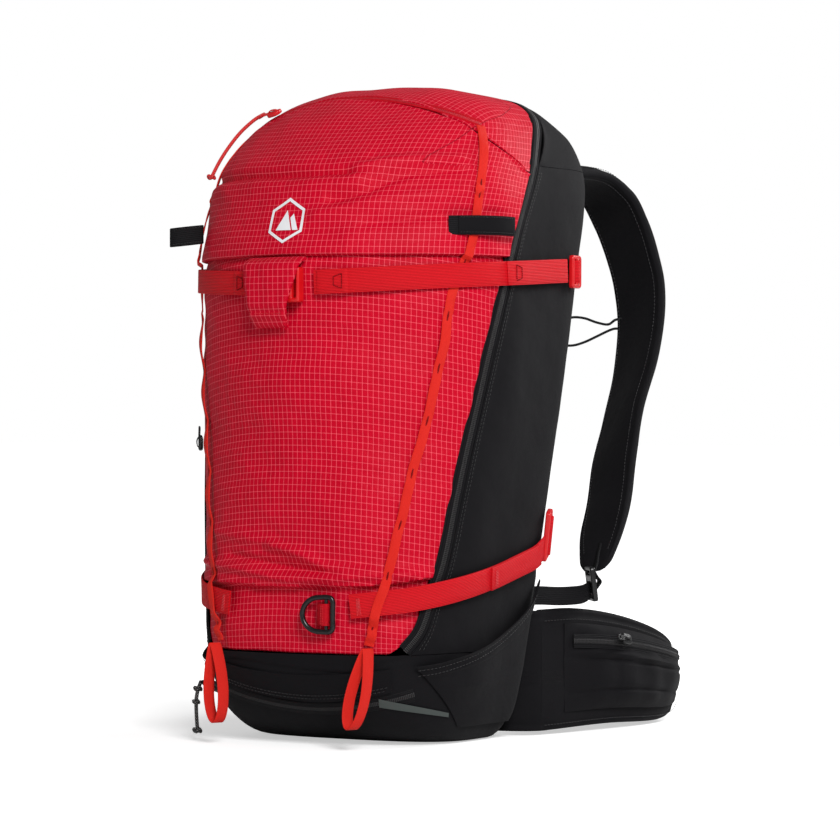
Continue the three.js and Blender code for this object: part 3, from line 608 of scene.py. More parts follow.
def ripstop_material():
    """Coated red ripstop: pink grid lines over a darker ground, puckered cell by cell, with painted shade of
    the puckers in an X across each cell.
    """
    s = Shader("red_ripstop", roughness=0.55, sheen=0.0, specular=0.1)
    main, side = s.uv(), s.uv("UVSide")
    dart = s.add("ShaderNodeAttribute", attribute_name="dart").outputs["Fac"]
    beyond = s.smooth(dart, -0.05, 0.05)
    uv = s.add("ShaderNodeMix", {0: beyond, 4: main, 5: side}, data_type="VECTOR").outputs[1]
    u, v = s.split(uv)

    def line(value, pitch, width):
        cell = s.math("FRACT", s.math("DIVIDE", value, pitch))
        from_middle = s.math("ABSOLUTE", s.math("SUBTRACT", cell, 0.5))
        from_line = s.math("MULTIPLY", s.math("SUBTRACT", 0.5, from_middle), pitch)
        return s.math("SUBTRACT", 1.0, s.smooth(from_line, width * 0.35, width))

    grid_u, grid_v = line(u, CELL_WIDE, 0.44), line(v, CELL_TALL, 0.4)
    grid = s.math("MAXIMUM", grid_u, grid_v)
    cross = s.math("ADD", grid_u, grid_v)
    # painted shade: a diamond of darker red across each cell stands for the shade of the puffed cells
    diagonal = s.math("MULTIPLY", s.wave(s.math("ADD", u, v), 1.55), s.wave(s.math("SUBTRACT", u, v), 1.55))
    broken = s.noise(uv, 0.9, 2.0)
    soft = s.noise(uv, 0.035, 3.0)
    ground = s.mix(soft, rgb(190, 0, 32), rgb(216, 0, 42))
    ground = s.mix(s.math("MULTIPLY", diagonal, 0.55), ground, rgb(140, 0, 22))
    shine = s.math("MULTIPLY", grid, s.math("MULTIPLY_ADD", broken, 1.0, 0.16), clamp=True)
    color = s.mix(shine, ground, rgb(243, 84, 100))
    knots = s.math("SUBTRACT", cross, 1.0, clamp=True)
    color = s.mix(s.math("MULTIPLY", knots, 0.5), color, rgb(250, 130, 140))
    seam = s.math("SUBTRACT", 1.0, s.smooth(s.math("ABSOLUTE", dart), 0.25, 0.7))
    color = s.mix(s.math("MULTIPLY", seam, 0.45), color, rgb(120, 0, 18))
    pucker = s.math("MULTIPLY", s.wave(u, CELL_WIDE, -math.pi / 2), s.wave(v, CELL_TALL, -math.pi / 2))
    height = s.math("ADD", s.math("MULTIPLY", pucker, 0.5), s.math("MULTIPLY", grid, 0.5))
    normal = s.bump(s.noise(uv, 0.09, 3.0, 0.55), 2.4, 0.6)
    normal = s.bump(height, 0.22, 0.7, normal)
    normal = s.bump(seam, -0.6, 0.8, normal)
    return s.finish(color, s.mix_number(grid, 0.55, 0.4), normal)


def weave_material(name, color, light, pitch=0.9, roughness=0.75, sheen=0.02, crinkle=0.8, specular=0.12):
    """Plain woven cloth in its own flat coordinates."""
    s = Shader(name, roughness=roughness, sheen=sheen, specular=specular)
    uv = s.uv()
    u, v = s.split(uv)
    weave = s.math("MULTIPLY", s.wave(u, pitch), s.wave(v, pitch))
    soft = s.noise(uv, 0.03, 3.0)
    tone = s.mix(soft, color, light)
    tone = s.mix(s.math("MULTIPLY", weave, 0.5), tone, light)
    normal = s.bump(s.noise(uv, 0.05, 3.0), 2.0 * crinkle, 0.5)
    normal = s.bump(weave, 0.12, 0.6, normal)
    return s.finish(tone, s.mix_number(soft, roughness - 0.06, roughness + 0.06), normal)


def mesh_material():
    """Open spacer mesh: round holes in staggered rows."""
    s = Shader("black_spacer_mesh", roughness=0.85, sheen=0.03, specular=0.15)
    where = s.place_mm()
    holes = s.add("ShaderNodeTexVoronoi", {"Vector": where, "Scale": 0.42, "Randomness": 0.15})
    rim = s.smooth(holes.outputs["Distance"], 0.18, 0.55)
    color = s.mix(rim, rgb(6, 6, 7), rgb(24, 23, 25))
    normal = s.bump(rim, 0.5, 0.8, s.bump(s.noise(where, 0.03, 2.0), 1.5, 0.4))
    return s.finish(color, s.mix_number(rim, 0.95, 0.75), normal)


def webbing_material(name, dark, light, rib=1.25, roughness=0.55):
    """Ribbed webbing: ribs along it, crossed by fine picks."""
    s = Shader(name, roughness=roughness, sheen=0.0, specular=0.14)
    uv = s.uv()
    u, v = s.split(uv)
    ribs, picks = s.wave(v, rib), s.wave(u, 0.8)
    fuzz = s.noise(uv, 0.7, 3.0)
    color = s.mix(s.math("MULTIPLY_ADD", ribs, 0.65, s.math("MULTIPLY", fuzz, 0.35)), dark, light)
    color = s.mix(s.math("MULTIPLY", picks, 0.25), color, dark)
    normal = s.bump(picks, 0.12, 0.6, s.bump(ribs, 0.35, 0.9))
    return s.finish(color, s.mix_number(fuzz, roughness - 0.08, roughness + 0.1), normal)


def tape_material(name, dark, light):
    """Narrow woven tape with a fine diagonal grain."""
    s = Shader(name, roughness=0.6, specular=0.14)
    uv = s.uv()
    u, v = s.split(uv)
    grain = s.wave(s.math("ADD", u, s.math("MULTIPLY", v, 1.6)), 1.3)
    fuzz = s.noise(uv, 0.8, 3.0)
    color = s.mix(s.math("MULTIPLY_ADD", grain, 0.5, s.math("MULTIPLY", fuzz, 0.4)), dark, light)
    return s.finish(color, s.mix_number(fuzz, 0.52, 0.7), s.bump(grain, 0.2, 0.8))


def plastic_material(name, color, light, roughness=0.32):
    """Moulded plastic with a fine spark-eroded texture and slight wear."""
    s = Shader(name, roughness=roughness, specular=0.5)
    where = s.place_mm()
    grain, wear = s.noise(where, 2.6, 2.0), s.noise(where, 0.12, 4.0)
    tone = s.mix(s.math("MULTIPLY", wear, 0.6), color, light)
    return s.finish(tone, s.mix_number(wear, roughness - 0.07, roughness + 0.12), s.bump(grain, 0.06, 0.5))


def cord_material(name, color, fleck, share=0.5):
    """Braided cord: two sets of strands winding across each other."""
    s = Shader(name, roughness=0.6, sheen=0.2, specular=0.35)
    u, v = s.split(s.uv())
    one = s.wave(s.math("ADD", u, s.math("MULTIPLY", v, 1.4)), 2.4)
    two = s.wave(s.math("SUBTRACT", u, s.math("MULTIPLY", v, 1.4)), 2.4)
    braid = s.math("MULTIPLY", one, two)
    tone = s.mix(s.smooth(braid, share, share + 0.15), color, fleck)
    return s.finish(tone, 0.6, s.bump(braid, 0.25, 0.8))


def zip_material(name, color, light):
    """Closed coil: two rows of small turns meeting in the middle."""
    s = Shader(name, roughness=0.5, specular=0.45)
    u, _ = s.split(s.uv())
    turns = s.wave(u, 1.5)
    return s.finish(s.mix(turns, color, light), 0.5, s.bump(turns, 0.5, 1.0))


RED = ripstop_material()
NYLON = weave_material("black_nylon", rgb(10, 9, 12), rgb(20, 19, 22))
STRETCH = weave_material("black_stretch", rgb(11, 10, 13), rgb(22, 21, 24), pitch=0.7, roughness=0.8,
                         crinkle=1.2)
MESH = mesh_material()
RED_WEB = webbing_material("red_webbing", rgb(172, 2, 14), rgb(250, 28, 42))
RED_WEB_PLAIN = webbing_material("red_webbing_plain", rgb(182, 4, 22), rgb(214, 16, 38), rib=0.9)
ORANGE = tape_material("orange_tape", rgb(206, 22, 18), rgb(240, 52, 40))
BLACK_WEB = webbing_material("black_webbing", rgb(9, 9, 11), rgb(27, 26, 29), rib=1.6, roughness=0.65)
RED_PLASTIC = plastic_material("red_plastic", rgb(205, 8, 18), rgb(232, 26, 32))
BLACK_PLASTIC = plastic_material("black_plastic", rgb(9, 9, 10), rgb(22, 22, 24), roughness=0.26)
RED_CORD = cord_material("red_cord", rgb(222, 44, 44), rgb(160, 16, 22))
FLECK_CORD = cord_material("flecked_cord", rgb(14, 14, 16), rgb(206, 206, 204), share=0.62)
BLACK_CORD = cord_material("black_cord", rgb(12, 12, 14), rgb(28, 28, 32))
COIL = zip_material("black_coil", rgb(10, 10, 11), rgb(44, 42, 44))
RED_COIL = zip_material("red_coil", rgb(150, 2, 20), rgb(226, 34, 52))
BLACK_THREAD = cord_material("black_thread", rgb(30, 29, 31), rgb(58, 56, 58))
GREY_THREAD = cord_material("grey_thread", rgb(44, 43, 46), rgb(82, 80, 84))
# painted shade: this thread is darker than the web it is sewn to, standing for the shadow round the stitched
# tacks
THREAD_PAINTED_SHADE = tape_material("dark_thread", rgb(112, 2, 14), rgb(150, 8, 22))
RED_THREAD = cord_material("red_thread", rgb(205, 28, 40), rgb(240, 70, 76))
WHITE_PRINT = weave_material("white_print", rgb(226, 226, 230), rgb(244, 244, 246), roughness=0.5, sheen=0.0,
                             crinkle=0.2)
GREY_PRINT = weave_material("grey_print", rgb(62, 68, 66), rgb(84, 90, 88), roughness=0.45, sheen=0.0,
                            crinkle=0.2)


# ---- camera, floor and light --------------------------------------------------------------------
VIEW_TURN = math.radians(31)
CAMERA_FAR = 3000
CAMERA_SIDE = 52
CAMERA_HIGH = 269


def camera():
    data = bpy.data.cameras.new("camera")
    data.lens = 151.46
    data.sensor_width = 36
    data.clip_end = 50
    obj = bpy.data.objects.new("camera", data)
    sin, cos = math.sin(VIEW_TURN), math.cos(VIEW_TURN)
    obj.location = np.array([sin * CAMERA_FAR + cos * CAMERA_SIDE, -cos * CAMERA_FAR + sin * CAMERA_SIDE,
                             CAMERA_HIGH]) * MM
    obj.rotation_euler = (math.pi / 2, 0, VIEW_TURN)
    bpy.context.scene.collection.objects.link(obj)
    bpy.context.scene.camera = obj


def area_light(name, place_m, aim_m, size, power):
    data = bpy.data.lights.new(name, "AREA")
    data.energy = power
    data.size = size
    obj = bpy.data.objects.new(name, data)
    obj.location = place_m
    aim = np.array(aim_m) - np.array(place_m)
    tilt = math.atan2(math.hypot(aim[0], aim[1]), -aim[2])
    obj.rotation_euler = (tilt, 0, math.atan2(aim[0], -aim[1]) + math.pi)
    bpy.context.scene.collection.objects.link(obj)


FLOOR_M = 30


def pale_floor():
    """A white floor that glows towards the camera away from the bag, so that it has no horizon."""
    mesh = bpy.data.meshes.new("floor")
    corners = [(-FLOOR_M, -FLOOR_M, 0), (FLOOR_M, -FLOOR_M, 0), (FLOOR_M, FLOOR_M, 0), (-FLOOR_M, FLOOR_M, 0)]
    mesh.from_pydata(corners, [], [(0, 1, 2, 3)])
    s = Shader("floor", roughness=0.9, specular=0.1)
    seen = s.add("ShaderNodeLightPath").outputs["Is Camera Ray"]
    s.bsdf.inputs["Emission Color"].default_value = (1, 1, 1, 1)
    place_m = s.add("ShaderNodeTexCoord").outputs["Object"]
    where = s.add("ShaderNodeVectorMath", {0: place_m}, operation="LENGTH")
    glow = s.mix_number(s.smooth(where.outputs["Value"], 0.25, 0.9), 0.5, 0.95)
    s.tree.links.new(s.math("MULTIPLY", seen, glow), s.bsdf.inputs["Emission Strength"])
    mesh.materials.append(s.finish((0.9, 0.9, 0.9, 1)))
    floor = bpy.data.objects.new("floor", mesh)
    floor.location = (0, 0, -0.0005)
    bpy.context.scene.collection.objects.link(floor)


def studio():
    """Soft light from the front right and from behind, in a white room."""
    pale_floor()
    world = bpy.data.worlds.new("studio")
    world.use_nodes = True
    tree = world.node_tree
    backdrop = tree.nodes["Background"]
    backdrop.inputs["Color"].default_value = (1, 1, 1, 1)
    seen = tree.nodes.new("ShaderNodeLightPath").outputs["Is Camera Ray"]
    strength = tree.nodes.new("ShaderNodeMix")
    strength.inputs[2].default_value = 0.24
    strength.inputs[3].default_value = 1.0
    tree.links.new(seen, strength.inputs[0])
    tree.links.new(strength.outputs[0], backdrop.inputs["Strength"])
    bpy.context.scene.world = world
    bpy.context.scene.view_settings.view_transform = "Standard"
    area_light("key", (2.2, -2.1, 2.2), (0, 0, 0.3), 1.2, 96)
    area_light("rim", (1.4, 2.2, 1.7), (0, 0.1, 0.3), 1.4, 44)


camera()
studio()


# ---- free cords ---------------------------------------------------------------------------------
def knot(name, centre, size, material, body, slot):
    """A small overhand knot: a trefoil of cord pulled tight."""
    t = np.linspace(0, 2 * np.pi, 48, endpoint=False)
    local = np.stack([np.sin(t) + 2 * np.sin(2 * t), np.cos(t) - 2 * np.cos(2 * t), -1.3 * np.sin(3 * t)], -1)
    x = unit(np.cross(UP, (0.3, 1, 0.1)))
    y = np.cross(UP, x)
    line = np.asarray(centre) + size / 3 * (local[:, :1] * x + local[:, 1:2] * y + local[:, 2:3] * UP)
    return place(tube(name, line, size * 0.3, material, closed=True, sides=8), body, slot)


ARCH_REST = -55
PULL_WIDE = 3.2


def declared_cord(name, marks, body, slot, material):
    """A pull cord through given marks, from its slider to its far end."""
    line = spline(marks, 40)
    obj = place(tube(f"{name}_line", line, PULL_WIDE / 2, material, sides=12), body, slot, name)


top_marks = [[-98.5, -4.5, 529.7]] + [
    skin(arch_height(ARCH_REST) - down, ARCH_REST - 9 - down * 0.03, off).tolist()
    for down, off in ((2, 8.2), (8, 9.4), (18, 9.6), (30, 9.2), (42, 9), (54, 9))]
TOP_KNOT = knot("top_pull_knot", top_marks[-1], 3.4, RED_CORD, "top_pull", "red_cord")
declared_cord("top_pull", top_marks, "top_pull", "red_cord", RED_CORD)
base_marks = [[-102.55, -86.77, 48.82], [-102, -92, 42], [-103, -93, 34], [-103, -93, 24],
              [-102.6, -92.6, 14], [-102, -92, 6]]
BASE_KNOTS = [knot(f"base_pull_knot_{i}", p, size, FLECK_CORD, "base_pull", "black_cord")
              for i, (p, size) in enumerate([([-102.2, -91.6, 43], 3.4), ([-103, -93, 32], 3.0),
                                             ([-102.3, -92.3, 8], 3.6)])]
declared_cord("base_pull", base_marks, "base_pull", "black_cord", FLECK_CORD)


# ---- red panels ---------------------------------------------------------------------------------
FOLD_FADE = 6.0


def fold_line(z, angle, marks, above, below, height):
    """A fold along marks [height, angle] from left to right, falling off above and below its line."""
    zs, angles = np.array(marks, float).T
    line = sum(np.interp(angle + step, angles, zs) for step in (0, -3, 3)) / 3
    left, right = ramp((angle - angles[0]) / FOLD_FADE + 1), ramp((angles[-1] - angle) / FOLD_FADE + 1)
    d = z - line
    return height * ease(left * right) * ridge(d, np.where(d > 0, above, below))


def waves(z, x, seed, scale, height):
    """Soft irregular waviness of cloth."""
    dice = np.random.default_rng(seed)
    total = np.zeros(np.broadcast(z, x).shape)
    for _ in range(9):
        turn, size, phase = dice.uniform(0, np.pi), scale * dice.uniform(0.6, 1.8), dice.uniform(0, 6.28)
        total += np.sin((np.cos(turn) * z + np.sin(turn) * x) * 2 * np.pi / size + phase)
    return height * total / 3


# folds of the red cloth: marks [height, angle], reach above, reach below, how far it stands out
FOLDS = [
    ([(472, -64), (473, -30), (472, 0), (473, 24)], 3.2, 2.2, -3.6),
    ([(464, -64), (465, -30), (464, 0), (466, 24)], 5, 10, 3.2),
    ([(480, -60), (481, 0), (480, 24)], 16, 6, 1.6),
    ([(474, 24), (481, 31.5), (483, 39), (484, 60)], 4, 6, 3.8),
    ([(449, 16), (458, 29.5), (470, 39.5), (476, 60)], 7, 4, -3.6),
    ([(437, 10), (444, 24), (452, 40), (456, 62)], 6, 6, 2.4),
    ([(430, 30), (436, 50), (440, 74)], 4, 4, -2.0),
    ([(420, 24), (418, 50), (424, 76)], 8, 8, 1.2),
    ([(166, -6), (158, 6), (148, 17), (146, 31)], 4, 5, 3.6),
    ([(150, -48), (146, -24), (138, 0), (140, 22.5), (143, 44)], 5, 3, 3.8),
    ([(157, -26), (148, 0), (144, 17)], 3, 3, -2.8),
    ([(176, -40), (168, -10), (160, 8)], 6, 4, 1.8),
    ([(345, -12), (352, 20), (362, 60)], 12, 10, 1.0),
    ([(300, -30), (296, 10), (312, 58)], 18, 14, 0.9)]
LOW_FOLD = [(110, 2), (98, 14), (96, 40)]


def strap_height(angle):
    """The upper compression strap's middle line."""
    return 381 + 14 * (np.abs(angle) / 112) ** 1.3


def relief(z, angle):
    """How far the red cloth stands off its smooth form."""
    x = arc(z, angle)
    out = waves(z, x * 0.6, 3, 95, 1.1) + waves(z * 1.6, x * 0.5, 5, 40, 0.45)
    for marks, above, below, height in FOLDS:
        out += fold_line(z, angle, marks, above, below, height)
    # the band below the low fold lies back
    low = np.interp(angle, [-46, 0, 34, 50], [133, 132, 134, 139])
    under = -4.2 + 2.2 * ramp((low - z) / 40)
    out += np.where(z < low, under * ramp((low - z) / 1.2), 1.9 * ridge(z - low - 2, 8))
    out += np.where(z < low, fold_line(z, angle, LOW_FOLD, 6, 6, 0.9), 0)
    # pulled in under the straps
    pulled = ridge(z - strap_height(angle), 11, 4) * (np.abs(angle) > 10)
    lower = np.interp(angle, [25, 36, 48, 60], [114, 117, 121, 130])
    pulled = np.maximum(pulled, ridge(z - lower, 12, 4) * ramp((np.abs(angle) - 22) / 4))
    out = np.where(out > 0.6, out + (0.6 - out) * pulled * 0.85, out) - pulled * 0.5
    # and under the daisy chains
    side = (np.abs(angle) - chain_angle(z)) * per_degree(z, np.abs(angle))
    return out - (1.0 + np.maximum(out, 0) * 0.7) * ridge(side, 5)


MITRE_Z = DART_LINE[0][0]


def dart_distance(z, angle):
    """Signed distance beyond the mitre seams, in millimetres."""
    m = np.array(DART_LINE, float)
    line = np.interp(z, m[:, 0], m[:, 1])
    away = (np.abs(angle) - line) * per_degree(z, np.abs(angle)) * 0.7
    return np.where(z < MITRE_Z, -20, away)


def red_panel(name, z, angle, off, node):
    """A panel of the red cloth over grids of height and angle."""
    outer = skin(z, angle, relief(z, angle) + off)
    rise = np.linalg.norm(np.diff(surface(z, angle), axis=0), axis=-1)
    v = np.concatenate([np.zeros((1, z.shape[1])), np.cumsum(rise, 0)]) + z[:1]
    main = np.stack([arc(z, angle), v], -1)
    reach = arc(MITRE_Z, zip_angle(MITRE_Z)) + (np.abs(angle) - zip_angle(z)) * per_degree(z, np.abs(angle))
    beside = np.stack([np.sign(angle) * reach, v], -1)
    obj = grid_shell(name, outer, 1.1, RED, {"UVMap": main, "UVSide": beside}, dart=dart_distance(z, angle))
    place(obj, "bag", "ripstop", node)


def graded(low, high, count):
    """Even steps with finer ones at both ends."""
    fine = np.array([0.0006, 0.0015, 0.003, 0.0055])
    return low + (high - low) * np.unique(np.concatenate([np.linspace(0, 1, count), fine, 1 - fine]))


# the distance between points of a cloth's grid
STEP = 1.6


def front():
    """The front panel, up into the upper pocket's hem."""
    zs = graded(SEAM_Z + SEAM_GAP, POCKET_Z + 6, int(330 / STEP))
    share = graded(-1, 1, int(330 / STEP))
    z = zs[:, None] + 0 * share
    angle = share * beside_zip(zs, -1)[:, None]
    edge = 1 - np.abs(share)
    off = -2.4 * ramp((z - 392) / 11) ** 2 - 1.6 * np.abs(share)[None, :] ** 90 + 0.9 * ridge(edge, 0.02)
    off = off - 1.6 * ramp((SEAM_Z + 2.2 - z) / 2) ** 2
    red_panel("front_cloth", z, angle, off, "front_panel")


def upper():
    """The upper pocket's panel, from its hem to the top pocket's zip."""
    share = graded(-1, 1, int(330 / STEP))
    vs = np.concatenate([np.linspace(0, 0.012, 5), graded(0.015, 1, int(150 / STEP))])
    v, s = np.meshgrid(vs, share, indexing="ij")
    hem_z = POCKET_Z + 0.5
    z_side = hem_z + (CROWN_Z - 8 - hem_z) * v
    angle = s * beside_zip(z_side, -1)
    z_mid = hem_z + (arch_height(angle) - 0.2 - hem_z) * v
    mix = np.abs(s) ** 5
    z = z_mid * (1 - mix) + np.minimum(z_mid, z_side) * mix
    hem = ramp(v / 0.012)
    off = 3.0 * np.sqrt(ramp(hem * (2 - hem))) * np.exp(-np.clip(z - 408, 0, 200) / 20)
    off = off - 1.6 * (1 - hem) + 0.8 * ridge(1 - np.abs(s), 0.02)
    off = off + 1.1 * ridge(v - 0.985, 0.012) - 1.0 * ramp((v - 0.992) / 0.008)
    red_panel("upper_pocket_cloth", z, angle, off, "upper_pocket_panel")


def crown_line(count):
    """The main zip's middle line over the top, from the right to the left."""
    half = [surface(CROWN_Z - 12, zip_angle(CROWN_Z - 12)), surface(CROWN_Z, zip_angle(CROWN_Z))]
    half += [np.array([x, y, float(dome_height(x, y))]) for x, y in ZIP_CROWN]
    return spline(half + [mirrored_line(p) for p in half[-2::-1]], count)


def zip_line(count):
    """The main zip's middle line: up the right side, over the top and down the left side."""
    zs = np.linspace(SEAM_Z + 3.5, CROWN_Z - 16, 30)
    side = surface(zs, zip_angle(zs))
    return spline(np.vstack([side, crown_line(60)[2:-2], mirrored_line(side[::-1])]), count)


def top():
    """The red panel between the top pocket's zip and the main zip."""
    share = np.linspace(-0.975, 0.975, int(300 / STEP))
    vs = graded(0, 1, int(150 / STEP))
    crown = crown_line(400)
    edge = at_way(share, np.linspace(-1, 1, 400), crown[::-1])
    across = np.cross(outward(edge[:, 2], angle_of(edge)), unit(np.gradient(edge, axis=0)))
    edge = edge - across * (ZIP_WIDTH / 2 + SEAM_GAP)
    fore_angle = share * beside_zip(CROWN_Z - 8.0, -1)
    fore_z = arch_height(fore_angle)
    fore_z = fore_z + (np.minimum(fore_z, CROWN_Z - 8) - fore_z) * np.abs(share) ** 5
    fore = surface(fore_z + 1.2, fore_angle)
    v = vs[:, None]
    x = fore[None, :, 0] * (1 - v) + edge[None, :, 0] * v
    y = fore[None, :, 1] * (1 - v) + edge[None, :, 1] * v
    z = dome_height(x, y)
    p = np.stack([x, y, z], -1)
    normal = grid_normals(p)
    normal = normal * np.sign(normal[vs.size // 2, share.size // 2, 2])
    soft = waves(x, y, 11, 60, 0.5) + 1.0 * ridge(v - 0.01, 0.02) - 1.2 * ramp((0.006 - v) / 0.006)
    p = p + normal * soft[..., None]
    angle = angle_of(p)
    main = np.stack([x * 1.02, y], -1)
    reach = (np.abs(angle) - zip_angle(np.minimum(z, 525))) * per_degree(z, np.abs(angle))
    uv = {"UVMap": main, "UVSide": np.stack([reach, z], -1)}
    cloth = grid_shell("top_cloth", p, 1.1, RED, uv, dart=dart_distance(z, angle))
    place(cloth, "bag", "ripstop", "top_panel")


front()
upper()
top()


# ---- black panels -------------------------------------------------------------------------------
def black_relief(z, angle):
    x = arc(z, angle)
    return waves(z * 0.8, x, 21, 110, 0.9) + waves(z, x, 22, 45, 0.25)


def flat_uv(z, angle):
    return np.stack([arc(z, angle), z], -1)


def side_panel():
    """The black side between the main zip and the back, pulled in under the lower strap."""
    zs = graded(SEAM_Z + SEAM_GAP, CROWN_Z - 0.2, int(300 / STEP))
    share = graded(0, 1, int(90 / STEP))
    z = zs[:, None] + 0 * share
    start, stop = beside_zip(zs, 1)[:, None], corner_angle(zs)[:, None]
    angle = start + (stop - start) * share
    off = black_relief(z, angle) * np.sin(np.pi * share) ** 0.5 + 0.9 * ridge(share * 90, 3.0)
    off = off + 0.5 * ridge((1 - share) * 90 - 4, 2.0)
    strap = np.interp(angle, [48, 73, 96, 106], [121, 133, 145, 151])
    off = off - (1.0 + np.maximum(off, 0) * 0.8) * ridge(z - strap, 12, 4)
    cloth = grid_shell("side_cloth_right", skin(z, angle, off), 1.2, NYLON, flat_uv(z, angle))
    place_pair(cloth, "bag", "black_nylon", "side_panel")
    for gap, name in ((2.2, "a"), (4.6, "b")):
        seam_z = np.linspace(SEAM_Z + 4, CROWN_Z - 4, 220)
        seam_angle = beside_zip(seam_z, 1, gap)
        seam = skin(seam_z, seam_angle, 0.75 + black_relief(seam_z, seam_angle) * 0.2)
        row = stitches(f"side_seam_{name}_right", seam, outward(seam_z, seam_angle), BLACK_THREAD, lift=0.15)
        place_pair(row, "bag", "black_nylon")


HOOD_Z = 523


def top_back():
    """The hood: the black panel behind the main zip, with a rounded padded rim."""
    vs = graded(0, 1, int(70 / STEP))
    share = np.linspace(1, -1, int(330 / STEP))
    v, s = np.meshgrid(vs, share, indexing="ij")
    edge = beside_zip(CROWN_Z + (HOOD_Z - CROWN_Z) * v, 1) + 1.5 * v
    angle = 180 + (edge - 180) * np.abs(s)
    z = CROWN_Z + 0.2 + (HOOD_Z + 17 * (1 - np.abs(s) ** 3) - CROWN_Z) * v
    sign = np.where(s < 0, -1, 1)
    rim = ridge((1 - np.abs(s)) * 150, 7) * np.sin(np.pi * ramp(v)) ** 0.4
    off = black_relief(z, angle) * 0.6 + 2.4 * rim + 1.2 * ridge(v - 0.9, 0.08)
    outer = skin(z, sign * angle, off)
    # its upper rows run to the zip over the crown
    crown = crown_line(600)
    crown = crown[crown[:, 2] > HOOD_Z]
    n = outward(np.minimum(crown[:, 2], BAG_HEIGHT - 2), angle_of(crown))
    behind = np.cross(n, along_of(crown))
    behind = behind * np.sign(behind[len(behind) // 2, 1])
    target = crown + behind * (ZIP_WIDTH / 2 + SEAM_GAP) + n * 0.4
    target = at_way(np.linspace(0, 1, len(share)), np.linspace(0, 1, len(target)), target)
    near = ease(ramp((v - 0.55) / 0.45))[..., None]
    lift = np.sin(np.pi * near) * ridge(s, 0.8, 4)[..., None] * 1.5
    outer = outer + (target[None] - outer) * near + outward(z, sign * angle) * lift
    cloth = grid_shell("hood_cloth", outer, 1.4, NYLON, flat_uv(z, angle))
    place(cloth, "bag", "black_nylon", "top_back_panel")


def back_cloth():
    zs = graded(SEAM_Z + SEAM_GAP, CROWN_Z - 0.2, int(160 / STEP))
    share = graded(0, 1, int(110 / STEP))
    z = zs[:, None] + 0 * share
    corner = corner_angle(zs)[:, None]
    angle = corner + (360 - 2 * corner) * share
    angle = np.where(angle > 180, angle - 360, angle)
    p = skin(z, angle, 0.4 + 0 * z)
    place(grid_shell("back_cloth", p, 1.6, MESH, p[..., [0, 2]]), "bag", "back_mesh", "back_panel")


def base_cloth():
    """The base: walls that round under into a flat floor."""
    turn = np.linspace(180, -180, 161)[:-1]
    floor_sizes = [0.02, 0.35, 0.7, 0.93]
    rows = []
    mid = ring(0.0)[3]
    for size in floor_sizes:
        p = surface(0.0, turn)
        p[:, 0] *= size
        p[:, 1] = mid + (p[:, 1] - mid) * size
        p[:, 2] = 0.3
        rows.append(p)
    seam = np.interp(turn, [-40, -17, 4.5, 26, 34.5, 50], [72, 69, 64, 61, 70, 78])
    for z in np.concatenate([[0.3, 1.2, 2.5, 5], np.linspace(8, SEAM_Z - SEAM_GAP, int(70 / STEP))]):
        wall = waves(z + 0 * turn, arc(z, turn), 31, 60, 0.5) * ramp(z / 20)
        wall = wall + (0.5 * ridge(z - seam - 3, 2) - 1.0 * ridge(z - seam, 1.2)) * (np.abs(turn) < 45)
        rows.append(skin(z, turn, wall * (z > 3)))
    outer = np.array(rows)
    count, sides = outer.shape[:2]
    around = np.linalg.norm(outer[-1] - np.roll(outer[-1], 1, 0), axis=1).cumsum()
    uv = np.stack([np.broadcast_to(around, (count, sides)), outer[..., 2]], -1)
    normal = grid_normals(outer, True)
    facing = np.sign(normal[-1, sides // 2] @ outward(SEAM_Z - 1.0, turn[sides // 2]))
    inner = outer - facing * normal * 1.2
    inner[: len(floor_sizes) + 1, :, 2] = 1.6
    index = np.arange(count * sides).reshape(count, sides)
    back = index + count * sides

    def quads(q):
        nxt = np.roll(q, -1, 1)
        return np.stack([q[:-1], q[1:], nxt[1:], nxt[:-1]], -1).reshape(-1, 4)

    faces = quads(index).tolist() + quads(back)[:, ::-1].tolist()
    faces += np.stack([index[-1], back[-1], np.roll(back[-1], -1), np.roll(index[-1], -1)], -1).tolist()
    faces += [index[0].tolist(), back[0][::-1].tolist()]
    points = np.concatenate([outer.reshape(-1, 3), inner.reshape(-1, 3)])
    obj = make_object("base_cloth", points, faces, NYLON, np.concatenate([uv.reshape(-1, 2)] * 2))
    place(obj, "bag", "black_nylon", "base_panel")


side_panel()
top_back()
back_cloth()
base_cloth()


# ---- main zip -----------------------------------------------------------------------------------
def coil_rows(name, line, normal, width, material, pitch=1.5):
    """A closed zip's coil: small turns across the line, in two rows that mesh."""
    way = way_along(line)
    at = np.arange(0, way[-1], pitch)
    p, n = at_way(at, way, line), unit(at_way(at, way, normal))
    along = unit(np.gradient(p, axis=0))
    across = unit(np.cross(n, along))
    shape = [(-1, 0.0), (-0.85, 0.75), (-0.3, 0.9), (0.0, 0.55), (0.3, 0.9), (0.85, 0.75), (1, 0.0)]
    half = pitch * 0.36
    rows = []
    for x, y in shape:
        centre = p + across * x * width / 2 + n * y
        rows.append(np.stack([centre - along * half, centre + n * 0.35, centre + along * half], 1))
    count = len(p)
    index = np.arange(count * len(shape) * 3).reshape(count, len(shape), 3)
    a, b = index[:, :-1], index[:, 1:]
    faces = []
    for i in range(2):
        faces += np.stack([a[..., i], a[..., i + 1], b[..., i + 1], b[..., i]], -1).reshape(-1, 4).tolist()
    uv = np.stack([np.repeat(at, len(shape) * 3), np.tile(np.arange(len(shape) * 3), count)], -1)
    return make_object(name, np.stack(rows, 1), faces, material, uv, sharp=80)


